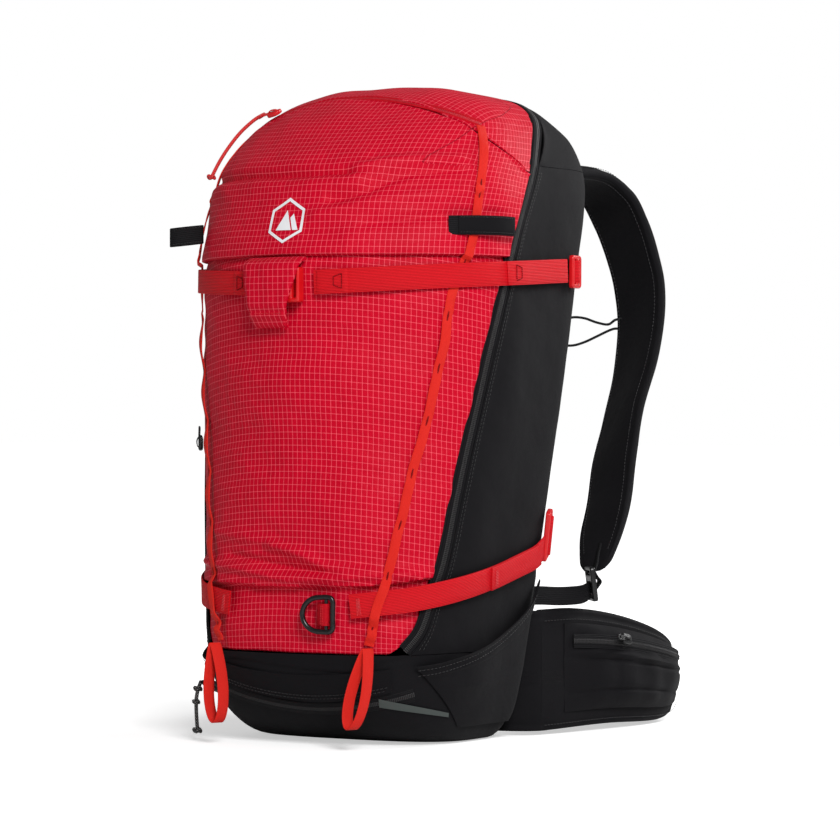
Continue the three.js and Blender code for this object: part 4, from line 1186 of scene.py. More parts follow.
def main_zip():
    line = zip_line(900)
    n = outward(line[:, 2], angle_of(line))
    across = unit(np.cross(n, along_of(line)))
    place(web("zip_tape", line - n * 0.7, across, ZIP_WIDTH + 3, 0.9, BLACK_WEB), "bag", "zip", "main_zip")
    place(coil_rows("zip_coil", line, n, 4.6, COIL), "bag", "zip")
    for side, name in ((-1, "inner"), (1, "outer")):
        flank = line + across * side * 3.4 + n * 0.1
        place(web(f"zip_welt_{name}", flank, across, 2.6, 1.2, NYLON, belly=0.2), "bag", "zip")


main_zip()


# ---- side pockets and base ----------------------------------------------------------------------
HEM_LINE = [[46, 68], [56, 72], [78, 86], [99, 104], [109, 118], [115, 138]]


POCKET_FULL = 8.5


def side_pocket():
    """The stretch pocket low on the side, with its hem's stitching."""
    us, vs = graded(0, 1, int(140 / STEP)), graded(0, 1, int(90 / STEP))
    v, u = np.meshgrid(vs, us, indexing="ij")
    front_angle = 66 - 20 * v
    angle = front_angle + (114 - front_angle) * u
    z = 15 + (profile(HEM_LINE, angle) - 15) * v
    off = 1.6 + POCKET_FULL * np.sin(u * np.pi) ** 0.7 * v ** 0.6
    off = off + waves(z, angle * 1.6, 41, 46, 0.8) * np.sin(np.pi * u) ** 0.6
    off = off + 1.3 * ridge((1 - v) * 80, 2.4) + 1.2 * (1 - ramp(((1 - v) * 80 - 14) / 1.5))
    off = off + 1.5 * ridge(v - 0.6 + 0.2 * u, 0.06) * np.sin(np.pi * u)
    cloth = grid_shell("side_pocket_cloth_right", skin(z, angle, off), 1.3, STRETCH, flat_uv(z, angle))
    place_pair(cloth, "bag", "stretch", "side_pocket")
    hem_angle = np.linspace(47, 113, 120)
    hem_off = 2.9 + POCKET_FULL * np.sin((hem_angle - 46) / 68 * np.pi) ** 0.7
    for drop, name in ((3.2, "a"), (7.5, "b")):
        hem_z = profile(HEM_LINE, hem_angle) - drop
        row = stitches(f"pocket_hem_{name}_right", skin(hem_z, hem_angle, hem_off), outward(hem_z, hem_angle),
                       BLACK_THREAD, lift=0.2)
        place_pair(row, "bag", "stretch")


def base_zip_height(angle):
    return 31 + 15 * (np.abs(angle - 6) / 42) ** 2


def base_flap():
    """The flap over the base pocket, its zip and the print beside them."""
    us, vs = graded(0, 1, int(160 / STEP)), graded(0, 1, max(8, int(30 / STEP)))
    v, u = np.meshgrid(vs, us, indexing="ij")
    angle = -31 + 69 * u
    low, high = base_zip_height(angle) + 8, 60 + 7 * (np.abs(angle - 5) / 35) ** 2
    z = low + (high - low) * v
    off = 2.2 + waves(z, arc(z, angle), 51, 40, 0.5) + 0.8 * ridge(v, 0.12)
    cloth = grid_shell("base_flap_cloth", skin(z, angle, off), 1.3, NYLON, flat_uv(z, angle))
    place(cloth, "bag", "black_nylon", "base_pocket_flap")
    line_angle = np.linspace(-30, 37, 200)
    for rise, name in ((10.5, "low"), (13, "low_b")):
        at = base_zip_height(line_angle) + rise
        row = stitches(f"base_flap_seam_{name}", skin(at, line_angle, 3.0), outward(at, line_angle),
                       BLACK_THREAD, lift=0.2)
        place(row, "bag", "black_nylon")
    line_angle = np.linspace(-39, 46, 260)
    at = base_zip_height(line_angle)
    line, n = skin(at, line_angle, 0.1), outward(at, line_angle)
    across = unit(np.cross(n, along_of(line)))
    place(web("base_zip_tape", line, across, 13, 1.0, BLACK_WEB), "bag", "black_nylon")
    place(coil_rows("base_zip_coil", line - n * 0.1, n, 4.2, COIL), "bag", "black_nylon")
    # the printed patch at the base's right end
    v, u = np.linspace(0, 1, 12)[:, None], np.linspace(0, 1, 60)[None]
    angle = 33.5 + 27 * u + 0 * v
    z = 38 - 12 * u + 7 * (v - 0.5) * (1 - 0.5 * u)
    patch = grid_shell("base_print", skin(z, angle, 1.35 + 0 * z), 0.25, GREY_PRINT, flat_uv(z, angle))
    place(patch, "bag", "black_nylon")


side_pocket()
base_flap()


# ---- webbing straps -----------------------------------------------------------------------------
def bartack(name, centre, along, across, normal, width, length, material):
    """Dense zigzag stitching across a web."""
    turns = max(5, int(length / 0.55))
    t = np.linspace(-0.5, 0.5, turns)
    side = np.where(np.arange(turns) % 2, 1, -1) * width / 2
    line = centre + along * (t * length)[:, None] + across * side[:, None] + normal * 0.15
    return tube(name, spline(line, turns * 3), 0.32, material, sides=5)


def trapezoid_tack(name, frame, wide, narrow, length):
    """A trapezoid of stitching: frame is (centre, along, up, out)."""
    centre, along, up, out = frame
    half = length / 2
    corners = [(-half, -wide / 2), (half, -narrow / 2), (half, narrow / 2), (-half, wide / 2)]
    line = np.array([centre + along * x + up * y for x, y in [*corners, corners[0]]])
    steps = np.linspace(0, 1, 20)[:, None]
    dense = np.vstack([line[i] + (line[i + 1] - line[i]) * steps for i in range(4)])
    # the thread is darkened as painted shade round the tack
    row = stitches(name, dense, out, THREAD_PAINTED_SHADE, length=1.3, gap=0.25, radius=0.42, lift=0.05)
    place_pair(row, "bag", "red_webbing")


def skin_frame(z, angle, off):
    """A place on the bag with its directions: to the right, up and outward."""
    out = outward(z, angle)
    along = unit(surface(z, angle + 1) - surface(z, angle - 1))
    return skin(z, angle, off), along, unit(np.cross(out, along)), out


def strap_piece(name, start, stop, off, count, node=None):
    """A stretch of the upper strap; off is one height or a table ([angles], [heights])."""
    angle = np.linspace(start, stop, count)
    z = strap_height(angle)
    line = skin(z, angle, off if np.ndim(off) == 0 else np.interp(angle, *off))
    across = unit(np.cross(outward(z, angle), along_of(line)))
    place_pair(web(name, line, across, WEB, 1.5, RED_WEB), "bag", "red_webbing", node)


def upper_straps():
    """The upper strap to both sides of the front buckle, its folded ends, tails and stitching."""
    strap_piece("upper_web_right", 11.5, 113.5, 3.9, 140, "upper_strap")
    strap_piece("upper_web_fold_right", 13, 24, ([13, 14, 23, 24], [5.2, 5.5, 5.5, 4.9]), 26)
    centre, along, up, out = skin_frame(strap_height(20.0), 20.5, 6.3)
    trapezoid_tack("upper_tack_right", (centre, -along, up, out), 12, 7, 7)
    trapezoid_tack("keeper_tack_right", skin_frame(strap_height(84.0), 84, 6.2), 13, 9, 7)
    strap_piece("upper_tail_right", 79, 113, ([79, 81, 108, 113], [5.2, 5.5, 5.4, 4.9]), 60)


def lower_straps():
    """The lower strap at each side, its tail and stitching."""
    marks = spline([[117, 25, 3.9], [120, 36, 3.9], [124, 48, 3.9], [136, 73, 3.9], [148, 96, 3.9],
                    [154, 106, 3.9], [159.5, 110, 4.2], [164, 112.5, 4.4]], 140)
    web_part, tail_part = marks.T, [*marks[78:128, :2].T, 5.5]
    for name, (z, angle, off), node in (("web", web_part, "lower_strap"), ("tail", tail_part, None)):
        line = skin(z, angle, off)
        across = unit(np.cross(outward(z, angle), along_of(line)))
        place_pair(web(f"lower_{name}_right", line, across, WEB, 1.5, RED_WEB), "bag", "red_webbing", node)
    line = skin(*marks.T)
    for at, name, off in ((82, "tail", 6.25), (4, "root", 4.65)):
        z, angle = marks[at, :2]
        along, out = along_of(line)[at], outward(z, angle)
        up = unit(np.cross(out, along))
        tack = bartack(f"lower_{name}_tack_right", skin(z, angle, off), along, up, out, 16, 3, RED_THREAD)
        place_pair(tack, "bag", "red_webbing")


def ladder_lock(name, frame, tilt, width, height, node):
    """A two-bar buckle at the back edge, with the web round its middle bar."""
    origin, along, up, out = frame
    turn = math.radians(tilt)
    x = along * math.cos(turn) + up * math.sin(turn)
    y = up * math.cos(turn) - along * math.sin(turn)
    w, h = width / 2, height / 2
    holes = [opening(3.6 - w, 3.6 - h, -1.8, h - 3.6, 0.9),
             opening(1.8, 3.4 - h, w - 3.6, h - 3.4, 0.9)]
    body = plate(f"{name}_right_body", rounded(box_outline(-w, -h, w, h), 3.4), holes, 4.4, 1.1, RED_PLASTIC,
                 origin + out * 2, x, y,
                 bend=lambda px, py: 0.9 * ridge(px, 2.2) - 0.6 * (np.abs(py) / h) ** 3)
    place_pair(body, "bag", "red_plastic", node)
    half = (h - 4.4) * 0.98
    loop = [(-5.4, 0.2), (-3.2, 1.4), (-1.9, 3.6), (0, 4.9), (1.9, 3.6), (3.0, 0.8), (1.6, -0.6),
            (-1.4, -0.8)]
    line = np.array([origin + x * px + out * (py + 0.4) for px, py in loop])
    place_pair(web(f"{name}_wrap_right", spline(line, 30), y, half * 2, 1.3, RED_WEB), "bag", "red_webbing")


upper_straps()
lower_straps()
ladder_lock("upper_lock", skin_frame(395.0, 118.0, 3), 0, 18, 28, "upper_lock")
ladder_lock("lower_lock", skin_frame(172.0, 113.5, 3), 15, 16, 44, "lower_buckle")


# ---- front buckle and its flap ------------------------------------------------------------------
def front_buckle():
    """Both halves of the front buckle, shut."""
    socket = [[0, -15], [21, -14.4], [21, 14.4], [0, 15]]
    plug = [[-21, -14.4], [-0.4, -15], [-0.4, 15], [-21, 14.4]]
    halves = [("socket", socket, opening(14, -11, 17.6, 11), 9, 1.5, 6.1),
              ("plug", plug, opening(-17.6, -11, -14, 11), 8, 1.4, 5.8)]
    for name, outline, hole, thick, bevel, off in halves:
        half = plate(f"buckle_{name}_body", rounded(outline, 2.4), [hole], thick, bevel, RED_PLASTIC,
                     (-4, FRONT_Y - off, 380), (1, 0, 0), UP, bend=lambda px, py: -0.5 * (py / 15) ** 2)
        place(half, "bag", "red_plastic", f"front_buckle_{name}")


FLAP_LIFT = [[345, 6], [356, 11.5], [366, 13.5], [394, 13.5], [399, 10], [402, 5]]


def flap_edges(z):
    """The flap's left and right edges, as angles."""
    return np.interp(z, [344, 402], [-12.6, -16]), np.interp(z, [344, 366, 402], [1.2, 3.0, 8.4])


def buckle_flap():
    """The flap of red cloth that hangs over the front buckle."""
    us, vs = graded(0, 1, int(48 / STEP * 1.2)), graded(0, 1, int(60 / STEP * 1.2))
    v, u = np.meshgrid(vs, us, indexing="ij")
    z = 344.6 + 57.6 * v
    left, right = flap_edges(z)
    angle = left + (right - left) * u
    edge = np.minimum(u, 1 - u) * 36
    off = profile(FLAP_LIFT, z) + 1.6 - 1.3 * ridge(edge, 1.6) + waves(z, u * 36, 61, 26, 0.45)
    off = off + 1.0 * ridge(v - 0.17, 0.05) - 0.7 * ridge(v - 0.235, 0.02)
    off = off - 2.0 * ramp((0.04 - v) / 0.04) ** 2
    uv = {"UVMap": np.stack([arc(z, angle), z * 1.02], -1), "UVSide": np.stack([angle, z], -1)}
    cloth = grid_shell("flap_cloth", skin(z, angle, off), 1.5, RED, uv, dart=np.full(z.shape, -20.0))
    place(cloth, "flap", "ripstop", "buckle_flap")
    for at, name in ((356.5, "hem"), (399.5, "root")):
        left, right = flap_edges(at)
        angle = left + (right - left) * np.linspace(0.05, 0.95, 60)
        row = stitches(f"flap_{name}_seam", skin(at, angle, profile(FLAP_LIFT, at) + 1.9), outward(at, angle),
                       RED_THREAD, length=1.8, gap=0.8, radius=0.24, lift=0.1)
        place(row, "flap", "ripstop")


front_buckle()
buckle_flap()


def printed(name, centre, outline, hole=None):
    """A flat print on the upper pocket: an outline round centre (height, angle), hollow if hole is given."""
    outline = np.array(outline, float)
    steps = np.linspace(0, 1, 24, endpoint=False)[:, None]
    edge = np.vstack([outline[i - 1] + (outline[i] - outline[i - 1]) * steps for i in range(len(outline))])
    middle = edge.mean(0)
    inner = middle + (edge - middle) * (hole or 0.02)
    rows = [inner + (edge - inner) * t for t in np.linspace(0, 1, 5 if hole else 9)]
    flat = np.array([np.vstack([row, row[:1]]) for row in rows])
    z = centre[0] + flat[..., 1]
    angle = centre[1] + flat[..., 0] / per_degree(centre[0], centre[1])
    lift = 3.0 * np.exp(-np.clip(z - 408, 0, 200) / 20)
    p = skin(z, angle, relief(z, angle) + lift + 0.28)
    place(grid_shell(name, p[::-1], 0.2, WHITE_PRINT, flat[::-1]), "bag", "ripstop")


MARK = (433.0, -2.5)
turns = np.radians(np.arange(0, 360, 60))
printed("mark_frame", MARK, np.stack([19 * np.sin(turns), 19 * np.cos(turns)], -1), hole=0.86)
printed("mark_peak_high", MARK, [[-9, -8], [-1, 9], [6, -8]])
printed("mark_peak_low", MARK, [[7.4, -8], [3.2, 2.6], [6, 6], [12.4, -8]])


# ---- daisy chains and gear loops ----------------------------------------------------------------
CHAIN_TACKS = [88, 99, 141, 183, 225, 268, 311, 354, 398, 453, 463, 512]


def daisy_chain():
    """The narrow tape down the front, loose between its tacks, over the lower strap and the pocket's hem."""
    z = np.linspace(85, 513.6, 420)
    angle = chain_angle(z)
    gap = np.interp(z, CHAIN_TACKS, np.arange(len(CHAIN_TACKS)))
    swell = np.sin(np.pi * (gap % 1)) ** 1.2
    free = np.interp(z, [0, 102, 360, 362, 410, 412, 455, 600], [0, 2.6, 2.6, 0.3, 0.3, 0.9, 2.0, 2.0])
    hem = 4.4 * ramp((z - 400.5) / 2.5) * np.exp(-np.clip(z - 404, 0, 200) / 16)
    over = 4.7 * ramp((z - 100) / 7) * ramp((139 - z) / 7)
    off = 1.0 + swell * free * (1 - 0.7 * (over > 0)) + hem + over
    sway = 0.9 * np.sin(gap * np.pi) * swell
    line = skin(z, angle + sway / per_degree(z, angle), off)
    n = outward(z, angle)
    across = unit(np.cross(n, along_of(line)))
    twist = (np.radians(9) * np.sin(gap * np.pi * 2 + 0.6) * swell)[:, None]
    across = across * np.cos(twist) + n * np.sin(twist)
    place_pair(web("chain_web_right", line, across, 8, 1.2, ORANGE), "bag", "orange_tape", "daisy_chain")
    for i, height in enumerate(CHAIN_TACKS[1:-1]):
        at = int(np.argmin(np.abs(z - height)))
        along = along_of(line)[at]
        side, middle = unit(np.cross(n[at], along)), line[at] + n[at] * 0.8
        # the thread is darkened as painted shade round each tack
        tack = bartack(f"chain_tack_right_{i}", middle, along, side, n[at], 1.3, 8, THREAD_PAINTED_SHADE)
        place_pair(tack, "bag", "orange_tape")


daisy_chain()


def gear_loops():
    """The hanging loops at the chains' lower ends."""
    t = np.linspace(0, 2 * np.pi, 72, endpoint=False)
    down = (1 - np.cos(t)) / 2
    turn = np.radians(30)
    for side, name in ((1, "right"), (-1, "left")):
        top_point = skin(83.0, chain_angle(83.0), 7) * np.array([side, 1, 1])
        lean = unit((-0.14 * side, -0.16, -1))
        sway = np.sin(t) * 11 * (0.25 + 0.75 * down)
        line = top_point + lean * (66 * down)[:, None] + np.stack([sway, 0 * t, 0 * t], -1)
        line[:, 1] += 2.0 * np.sin(t * 2) * down
        across = np.stack([0 * t + np.sin(turn), 0 * t + np.cos(turn), 0.25 * np.sin(t)], -1)
        place(web(f"gear_web_{name}", line, across, 10, 1.3, ORANGE, closed=True), f"gear_loop_{name}",
              "orange_tape", f"gear_loop_{name}")


gear_loops()


# ---- pole bands ---------------------------------------------------------------------------------
BAND_Z = 428


def band_stitches(name, line, out):
    for side, edge in ((-1, "low"), (1, "high")):
        row = stitches(f"{name}_stitch_{edge}", line + UP * side * 6.2 + out * 0.9, out, BLACK_THREAD,
                       length=1.7, gap=0.7, radius=0.22)
        place(row, name, "black_webbing")


def pole_bands():
    """The right band lies against the bag; the left one is folded on itself and stands out."""
    marks = [[BAND_Z, a, off] for a, off in ((57.5, 2.4), (61, 4.0), (65, 6), (70, 8), (75, 9), (80.5, 8))]
    line, out = skin_line(marks, 60)
    place(web("pole_band_body_right", line, UP, 16, 1.8, BLACK_WEB), "pole_band_right", "black_webbing",
          "pole_band_right")
    place(web("pole_band_tip_right", line[8:57] + out[8:57] * 1.7, UP, 15.4, 1.3, NYLON), "pole_band_right",
          "black_webbing")
    band_stitches("pole_band_right", line[9:56] + out[9:56] * 1.7, out[9:56])
    origin, along, _, out = skin_frame(float(BAND_Z), -59.0, 0)
    half = [(-2.0, 4.6), (-4.0, 9.3), (-5.2, 17), (-4.8, 24), (-2.8, 29.5)]
    outline = [*half, (0, 31.5), *[(-x, y) for x, y in half[::-1]]]
    loop = spline([origin + along * x + out * y - UP * 0.26 * y for x, y in outline], 70, closed=True)
    place(web("pole_band_body_left", loop, UP, 16, 1.8, BLACK_WEB, closed=True), "pole_band_left",
          "black_webbing", "pole_band_left")
    face = loop[36:68]
    band_stitches("pole_band_left", face + along * 0.2, np.broadcast_to(along, face.shape))


pole_bands()


# ---- D-ring, its tab and the haul loop ----------------------------------------------------------
def d_ring():
    """The D-ring, its inner bar and the tab of webbing that holds it."""
    origin, along, _, out = skin_frame(110.0, 19.0, 4)

    def at(x, y, off=0.0):
        return origin + along * x + UP * y + out * off

    bow = [at(-12 + 15 * math.cos(t), 14 * math.sin(t)) for t in np.radians(np.linspace(90, 270, 9))]
    points = [at(0, -11), at(0, -4), at(0, 4), at(0, 11), at(-3, 14), *bow, at(-3, -14)]
    ring = tube("d_ring_body", spline(points, 120, closed=True), 2.2, BLACK_PLASTIC, closed=True, sides=16)
    place(ring, "ring", "black_plastic", "d_ring")
    bar = np.array([at(-5.7, y) for y in np.linspace(-12.6, 12.6, 12)])
    place(tube("d_ring_bar", bar, 1.5, BLACK_PLASTIC), "ring", "black_plastic")
    folded = [(-14, -3.2), (-8, -3), (-5.6, -2.9), (-4.0, -1.8), (-3.4, 0.2), (-4.0, 2.2), (-5.8, 3.0),
              (-9, 2.6), (-14, -1.2)]
    path = spline([at(x, 0, off) for x, off in folded], 60)
    place(web("d_ring_tab_body", path, UP, 18, 1.2, RED_WEB_PLAIN), "bag", "red_webbing", "d_ring_tab")
    for x in (-7.6, -9.4):
        line = np.array([at(x, y, 3.5 + 0.2 * (x + 7.6)) for y in np.linspace(-8, 8, 30)])
        row = stitches(f"d_ring_tab_seam_{int(-x)}", line, out, RED_THREAD, length=1.5, gap=0.5)
        place(row, "bag", "red_webbing")


def haul_loop():
    back = float(ring(512.0)[2])
    bow = ((-34, 2.5), (-26, 9), (-12, 14), (12, 14), (26, 9), (34, 2.5))
    line = spline([[x, back + off, 512 + off * 0.6] for x, off in bow], 60)
    place(web("haul_web", line, UP, 18, 2.2, BLACK_WEB, belly=0.5), "bag", "black_webbing", "haul_loop")


d_ring()
haul_loop()


# ---- back pads ----------------------------------------------------------------------------------
def back_pad(name, x0, x1, z0, z1, thick, grooves=()):
    """A padded mesh panel on the back, with grooves across it at shares of its height."""
    tall, wide = z1 - z0, abs(x1 - x0)
    vs, us = graded(0, 1, int(tall / STEP / 1.3)), graded(0, 1, int(wide / STEP / 1.1))
    v, u = np.meshgrid(vs, us, indexing="ij")
    inset = 4 * ramp(np.abs(2 * u - 1) ** 6 + np.abs(2 * v - 1) ** 16)
    soft = (np.sin(np.pi * u) * np.sin(np.pi * v)) ** 0.35
    z, x = z0 + tall * v, x0 + (x1 - x0) * u
    x = x + np.sign(x.mean() - x) * inset * np.abs(2 * u - 1)
    off = 3.2 + (thick - 2) * soft + waves(z, x, 71, 60, 0.5) * soft
    for groove in grooves:
        off = off - 5 * soft * ridge((v - groove) * tall, 5)
    off = off - 2.6 * ridge(np.minimum(np.minimum(u, 1 - u) * wide, np.minimum(v, 1 - v) * tall), 1.5)
    p = np.stack([x, ring(z)[2] + np.maximum(off, 0.9), z], -1)
    return grid_shell(name, p, 1.3, MESH, p[..., [0, 2]])


def back_pads():
    pads = place_pair(back_pad("back_pad_cloth_right", 88, 14, 150, 440, 14, (0.3, 0.62)), "bag", "back_mesh",
                      "back_pad")
    lumbar = place(back_pad("lumbar_cloth", 80, -80, 24, 138, 18), "bag", "back_mesh", "lumbar_pad")


back_pads()


# ---- shoulder straps ----------------------------------------------------------------------------
# the right strap's middle line, with its width, thickness and turn in degrees
STRAP_PATH = [
    [49, 160, 459, 62, 6, 0], [50, 174, 467, 62, 7, 0], [53, 200, 482, 64, 9, -2], [58, 240, 492, 66, 10, -4],
    [65, 280, 490, 66, 10, -7], [73, 308, 474, 66, 10, -12], [82, 322, 448, 65, 10, -16],
    [90, 329, 418, 64, 10, -19], [97, 330, 388, 63, 10, -21], [102, 322, 352, 62, 10, -25],
    [107, 300, 312, 60, 10, -28], [111, 270, 272, 58, 10, -30], [118, 240, 234, 56, 10, -24],
    [126, 216, 200, 52, 9, -20], [133, 190, 172, 45, 8, -12], [139, 169, 151, 33, 6, -6],
    [143, 156, 138, 22, 5, -2]]
STRAP_LONG = 560
STRAP_ENDS = np.array([50, 172, 466]), np.array([60, 246, 492])


def strap_station(count):
    """Middle line, width direction, face direction, width and thickness along the right strap."""
    m = spline(STRAP_PATH, count)
    line = m[:, :3]
    along = along_of(line)
    side = unit(np.array([1, 0, 0]) - along * along[:, :1])
    turn = -np.radians(m[:, 5])[:, None]
    side = side * np.cos(turn) + np.cross(along, side) * np.sin(turn)
    return line, side, np.cross(along, side), m[:, 3], m[:, 4]


def shoulder_strap():
    """The padded strap with its binding, piping, seams and mesh lining, narrowing at its lower end."""
    count = int(STRAP_LONG / STEP)
    line, side, face, width, thick = strap_station(count)
    t = np.linspace(0, 2 * np.pi, 44, endpoint=False)
    c, s = np.cos(t), np.sin(t)
    across = np.sign(c) * np.abs(c) ** 0.55
    out = np.sign(s) * np.abs(s) ** 0.75
    binding = ridge(np.abs(across) - 0.93, 0.05) * 0.9 - 1.3 * ridge(np.abs(across) - 0.83, 0.03)
    way = np.linspace(0, STRAP_LONG, count)
    soft = waves(way[:, None], across[None] * 40, 81, 80, 0.8)
    end = np.sqrt(1 - (1 - np.clip((STRAP_LONG - way) / 16, 0.03, 1)) ** 2)
    narrow = 0.35 + 0.65 * end
    rows = line[:, None] + side[:, None] * (across[None] * (width / 2 * narrow)[:, None])[..., None]
    depth = out[None] * (thick[:, None] / 2 + 0.4) + np.sign(s)[None] * (binding[None] + soft * 0.5)
    rows = rows + face[:, None] * (depth * end[:, None])[..., None]
    cloth = sweep("strap_cloth_right", rows[:, ::-1], STRETCH, sharp=75)
    blend_pair(cloth, "strap", "back_mesh", *STRAP_ENDS, "shoulder_strap", 0.6)
    for edge, name in ((1, "outer"), (-1, "inner")):
        piping = line + side * (edge * width * 0.47 * narrow)[:, None] + face * 0.2
        rope = tube(f"strap_piping_{name}_right", piping[2:-2], 1.5, NYLON, sides=8)
        blend_pair(rope, "strap", "back_mesh", *STRAP_ENDS)
    for edge in (1, -1):
        for up in (1, -1):
            inset = (edge * (width * 0.47 - 4.4))[:, None]
            seam = (line + side * inset + face * up * (thick[:, None] / 2 + 0.15))[6:-14]
            row = stitches(f"strap_seam_{edge}_{up}_right", seam, face[6:-14] * up, GREY_THREAD)
            blend_pair(row, "strap", "back_mesh", *STRAP_ENDS)
    lining = (line - face * (thick / 2 + 0.4)[:, None])[6:-60]
    inner = web("strap_mesh_right", lining, side[6:-60], 42, 1.6, MESH, belly=0.5)
    blend_pair(inner, "strap", "back_mesh", *STRAP_ENDS)


LOCK_X, LOCK_Y = unit((0.62, -0.78, 0)), unit((-0.25, 0.12, 1))


def strap_fittings():
    """The buckle at each shoulder strap's lower end and the webbing from it to the bag's corner."""
    slots = (-10.4, -11.6, 10.2, -8), (-10.2, -1.9, 10.4, 1.8), (-10.3, 7.6, 10.3, 11.4)
    holes = [opening(*corners, 0.9) for corners in slots]
    middle = np.array([146, 149, 128]) + np.cross(LOCK_X, LOCK_Y) * 2
    lock = plate("strap_lock_body_right", rounded(box_outline(-14, -15, 14, 15), 3.2), holes, 4.4, 1.1,
                 BLACK_PLASTIC, middle, LOCK_X, LOCK_Y)
    place_pair(lock, "strap", "black_plastic", "strap_lock")
    lower = spline([[145, 146, 123], [141, 139, 119], [136, 126, 118], [130, 113, 118], [122, 98, 119],
                    [114, 86, 119]], 50)
    blend_pair(web("strap_web_body_right", lower, UP, 16, 1.6, BLACK_WEB), "strap", "black_webbing",
               np.array([118, 93, 119]), np.array([132, 117, 119]), "strap_web")
    upper = spline([[146, 149, 139], [144, 157, 146], [141, 165, 153], [138, 175, 162]], 30)
    place_pair(web("strap_lock_web_right", upper, LOCK_X, 17, 1.5, BLACK_WEB), "strap", "black_webbing")
    wrap = spline([[146, 147, 121], [149.5, 149, 126], [151, 150.5, 130], [148, 150, 134], [146, 149, 138]],
                  30)
    place_pair(web("strap_lock_wrap_right", wrap, LOCK_X, 17, 1.4, BLACK_WEB), "strap", "black_webbing")


def sternum():
    """The elastic cord looped from the right strap to a hook, and the left strap's tab."""
    marks = [[79, 331, 362], [70, 333, 361], [62, 334, 357], [50, 334, 359], [38, 333, 363], [26, 332, 364],
             [14, 331, 361], [4, 330, 356], [0, 330, 350], [4, 330, 344], [14, 331, 339], [26, 332, 338],
             [38, 333, 341], [50, 334, 346], [62, 334, 351], [70, 333, 353], [79, 331, 352]]
    cord = tube("sternum_cord_body", spline(marks, 120), 1.2, BLACK_CORD, sides=10)
    place(cord, "strap_right", "black_cord", "sternum_cord")
    hook = plate("sternum_hook_body", rounded([[-22, -7], [-1.6, -9], [-1.6, 9], [-22, 7]], 2),
                 [opening(-19, -6.0, -15.4, 6.0, 0.7)], 5, 1.2, BLACK_PLASTIC, (0, 330.5, 350),
                 (1, 0, 0), UP)
    place(hook, "strap_right", "black_plastic", "sternum_hook")
    line = spline([[-79, 331, 353], [-70, 334, 352], [-62, 335, 351], [-50, 336, 350], [-36, 334, 350],
                   [-24, 331, 350]], 40)
    place(web("sternum_tab_body", line, UP, 12, 1.6, BLACK_WEB), "strap_left", "black_webbing", "sternum_tab")


shoulder_strap()
strap_fittings()
sternum()


# ---- hip belt -----------------------------------------------------------------------------------
WING_PLAN = [[118, 98], [128, 128], [138, 170], [146, 215], [148, 260], [141, 305]]
WING_TOP = [[0, 106], [0.2, 106], [0.45, 99], [0.75, 84], [0.92, 72], [1, 60]]
WING_LOW = [[0, 3], [0.4, 5], [0.8, 3], [0.93, 7], [1, 16]]
WING_LINE = spline(WING_PLAN, 401)
WING_ALONG = unit(np.gradient(WING_LINE, axis=0))


def wing_point(s, h, off):
    """A point of the right wing: s along it from the bag, h up it, off out of its face."""
    s, h, off = np.broadcast_arrays(s, h, off)
    at, steps = ramp(s) * 400, np.arange(401)
    plan = at_way(at, steps, WING_LINE) + at_way(at, steps, WING_ALONG)[..., ::-1] * off[..., None] * [1, -1]
    low, high = profile(WING_LOW, s), profile(WING_TOP, s)
    return np.concatenate([plan, (low + (high - low) * h)[..., None]], -1)


WING_ENDS = np.array([118, 98, 50]), np.array([131, 142, 50])


def hip_wing():
    """The padded wing with its edge piping, seams and mesh lining, and its root against the bag."""
    s = np.linspace(0, 1, int(230 / STEP))
    t = np.linspace(0, 2 * np.pi, 64, endpoint=False)
    h = 0.5 + 0.5 * np.sign(np.sin(t)) * np.abs(np.sin(t)) ** 0.6
    out = np.sign(np.cos(t)) * np.abs(np.cos(t)) ** 0.35
    thick = 7.0 - 3 * ramp((s - 0.93) / 0.07)
    soft = waves(s[:, None] * 230, h[None] * 100, 91, 60, 0.8)
    edge = ridge(np.minimum(h, 1 - h) - 0.055, 0.018)
    off = out[None] * thick[:, None] * (1 - 0.22 * edge[None]) + np.sign(out)[None] * soft * 0.6
    cloth = sweep("wing_cloth_right", wing_point(s[:, None], h[None], off), NYLON, sharp=75)
    blend_pair(cloth, "belt", "black_nylon", *WING_ENDS, "hip_wing", 0.55)
    plan = spline([[64, 78], [88, 82], [105, 87], [117, 95.5], [121.5, 107]], 40)
    across = unit(np.gradient(plan, axis=0))[:, ::-1] * [1, -1]
    rows = plan[:, None] + across[:, None] * off[:1, :, None] * 0.9
    rows = np.concatenate([rows, np.broadcast_to(3 + 103 * h, rows.shape[:2])[..., None]], -1)
    place_pair(sweep("wing_root_right", rows, NYLON, sharp=75), "bag", "black_nylon")
    for height, name in ((0.985, "top"), (0.02, "low")):
        piping = wing_point(s, height, 0.0)
        rope = tube(f"wing_piping_{name}_right", piping[1:-1], 2.4, BLACK_WEB, sides=10)
        blend_pair(rope, "belt", "black_nylon", *WING_ENDS)
        line = wing_point(s[2:-2], abs(height - 0.07), 6.6)
        n = unit(wing_point(s[2:-2], height, 10.0) - wing_point(s[2:-2], height, 0.0))
        row = stitches(f"wing_stitch_{name}_right", line, n, BLACK_THREAD, lift=0.3)
        place_pair(row, "belt", "black_nylon")
    rows = wing_point(s[4:-6][:, None], np.array([[0.1, 0.5, 0.9, 0.9, 0.5, 0.1]]),
                      np.array([[-8.2, -9.4, -8.2, -6.0, -6.0, -6.0]]))
    blend_pair(sweep("wing_mesh_right", rows, MESH, sharp=60), "belt", "back_mesh", *WING_ENDS)


def pocket_place(u, v):
    """Where the hip pocket's cloth lies on the wing, and how full it is there."""
    full = (np.sin(np.pi * u) * np.sin(np.pi * v)) ** 0.5
    return 0.12 + 0.82 * u, 0.14 + 0.74 * v, full, 16.5 * full * ramp(u / 0.35) ** 0.8


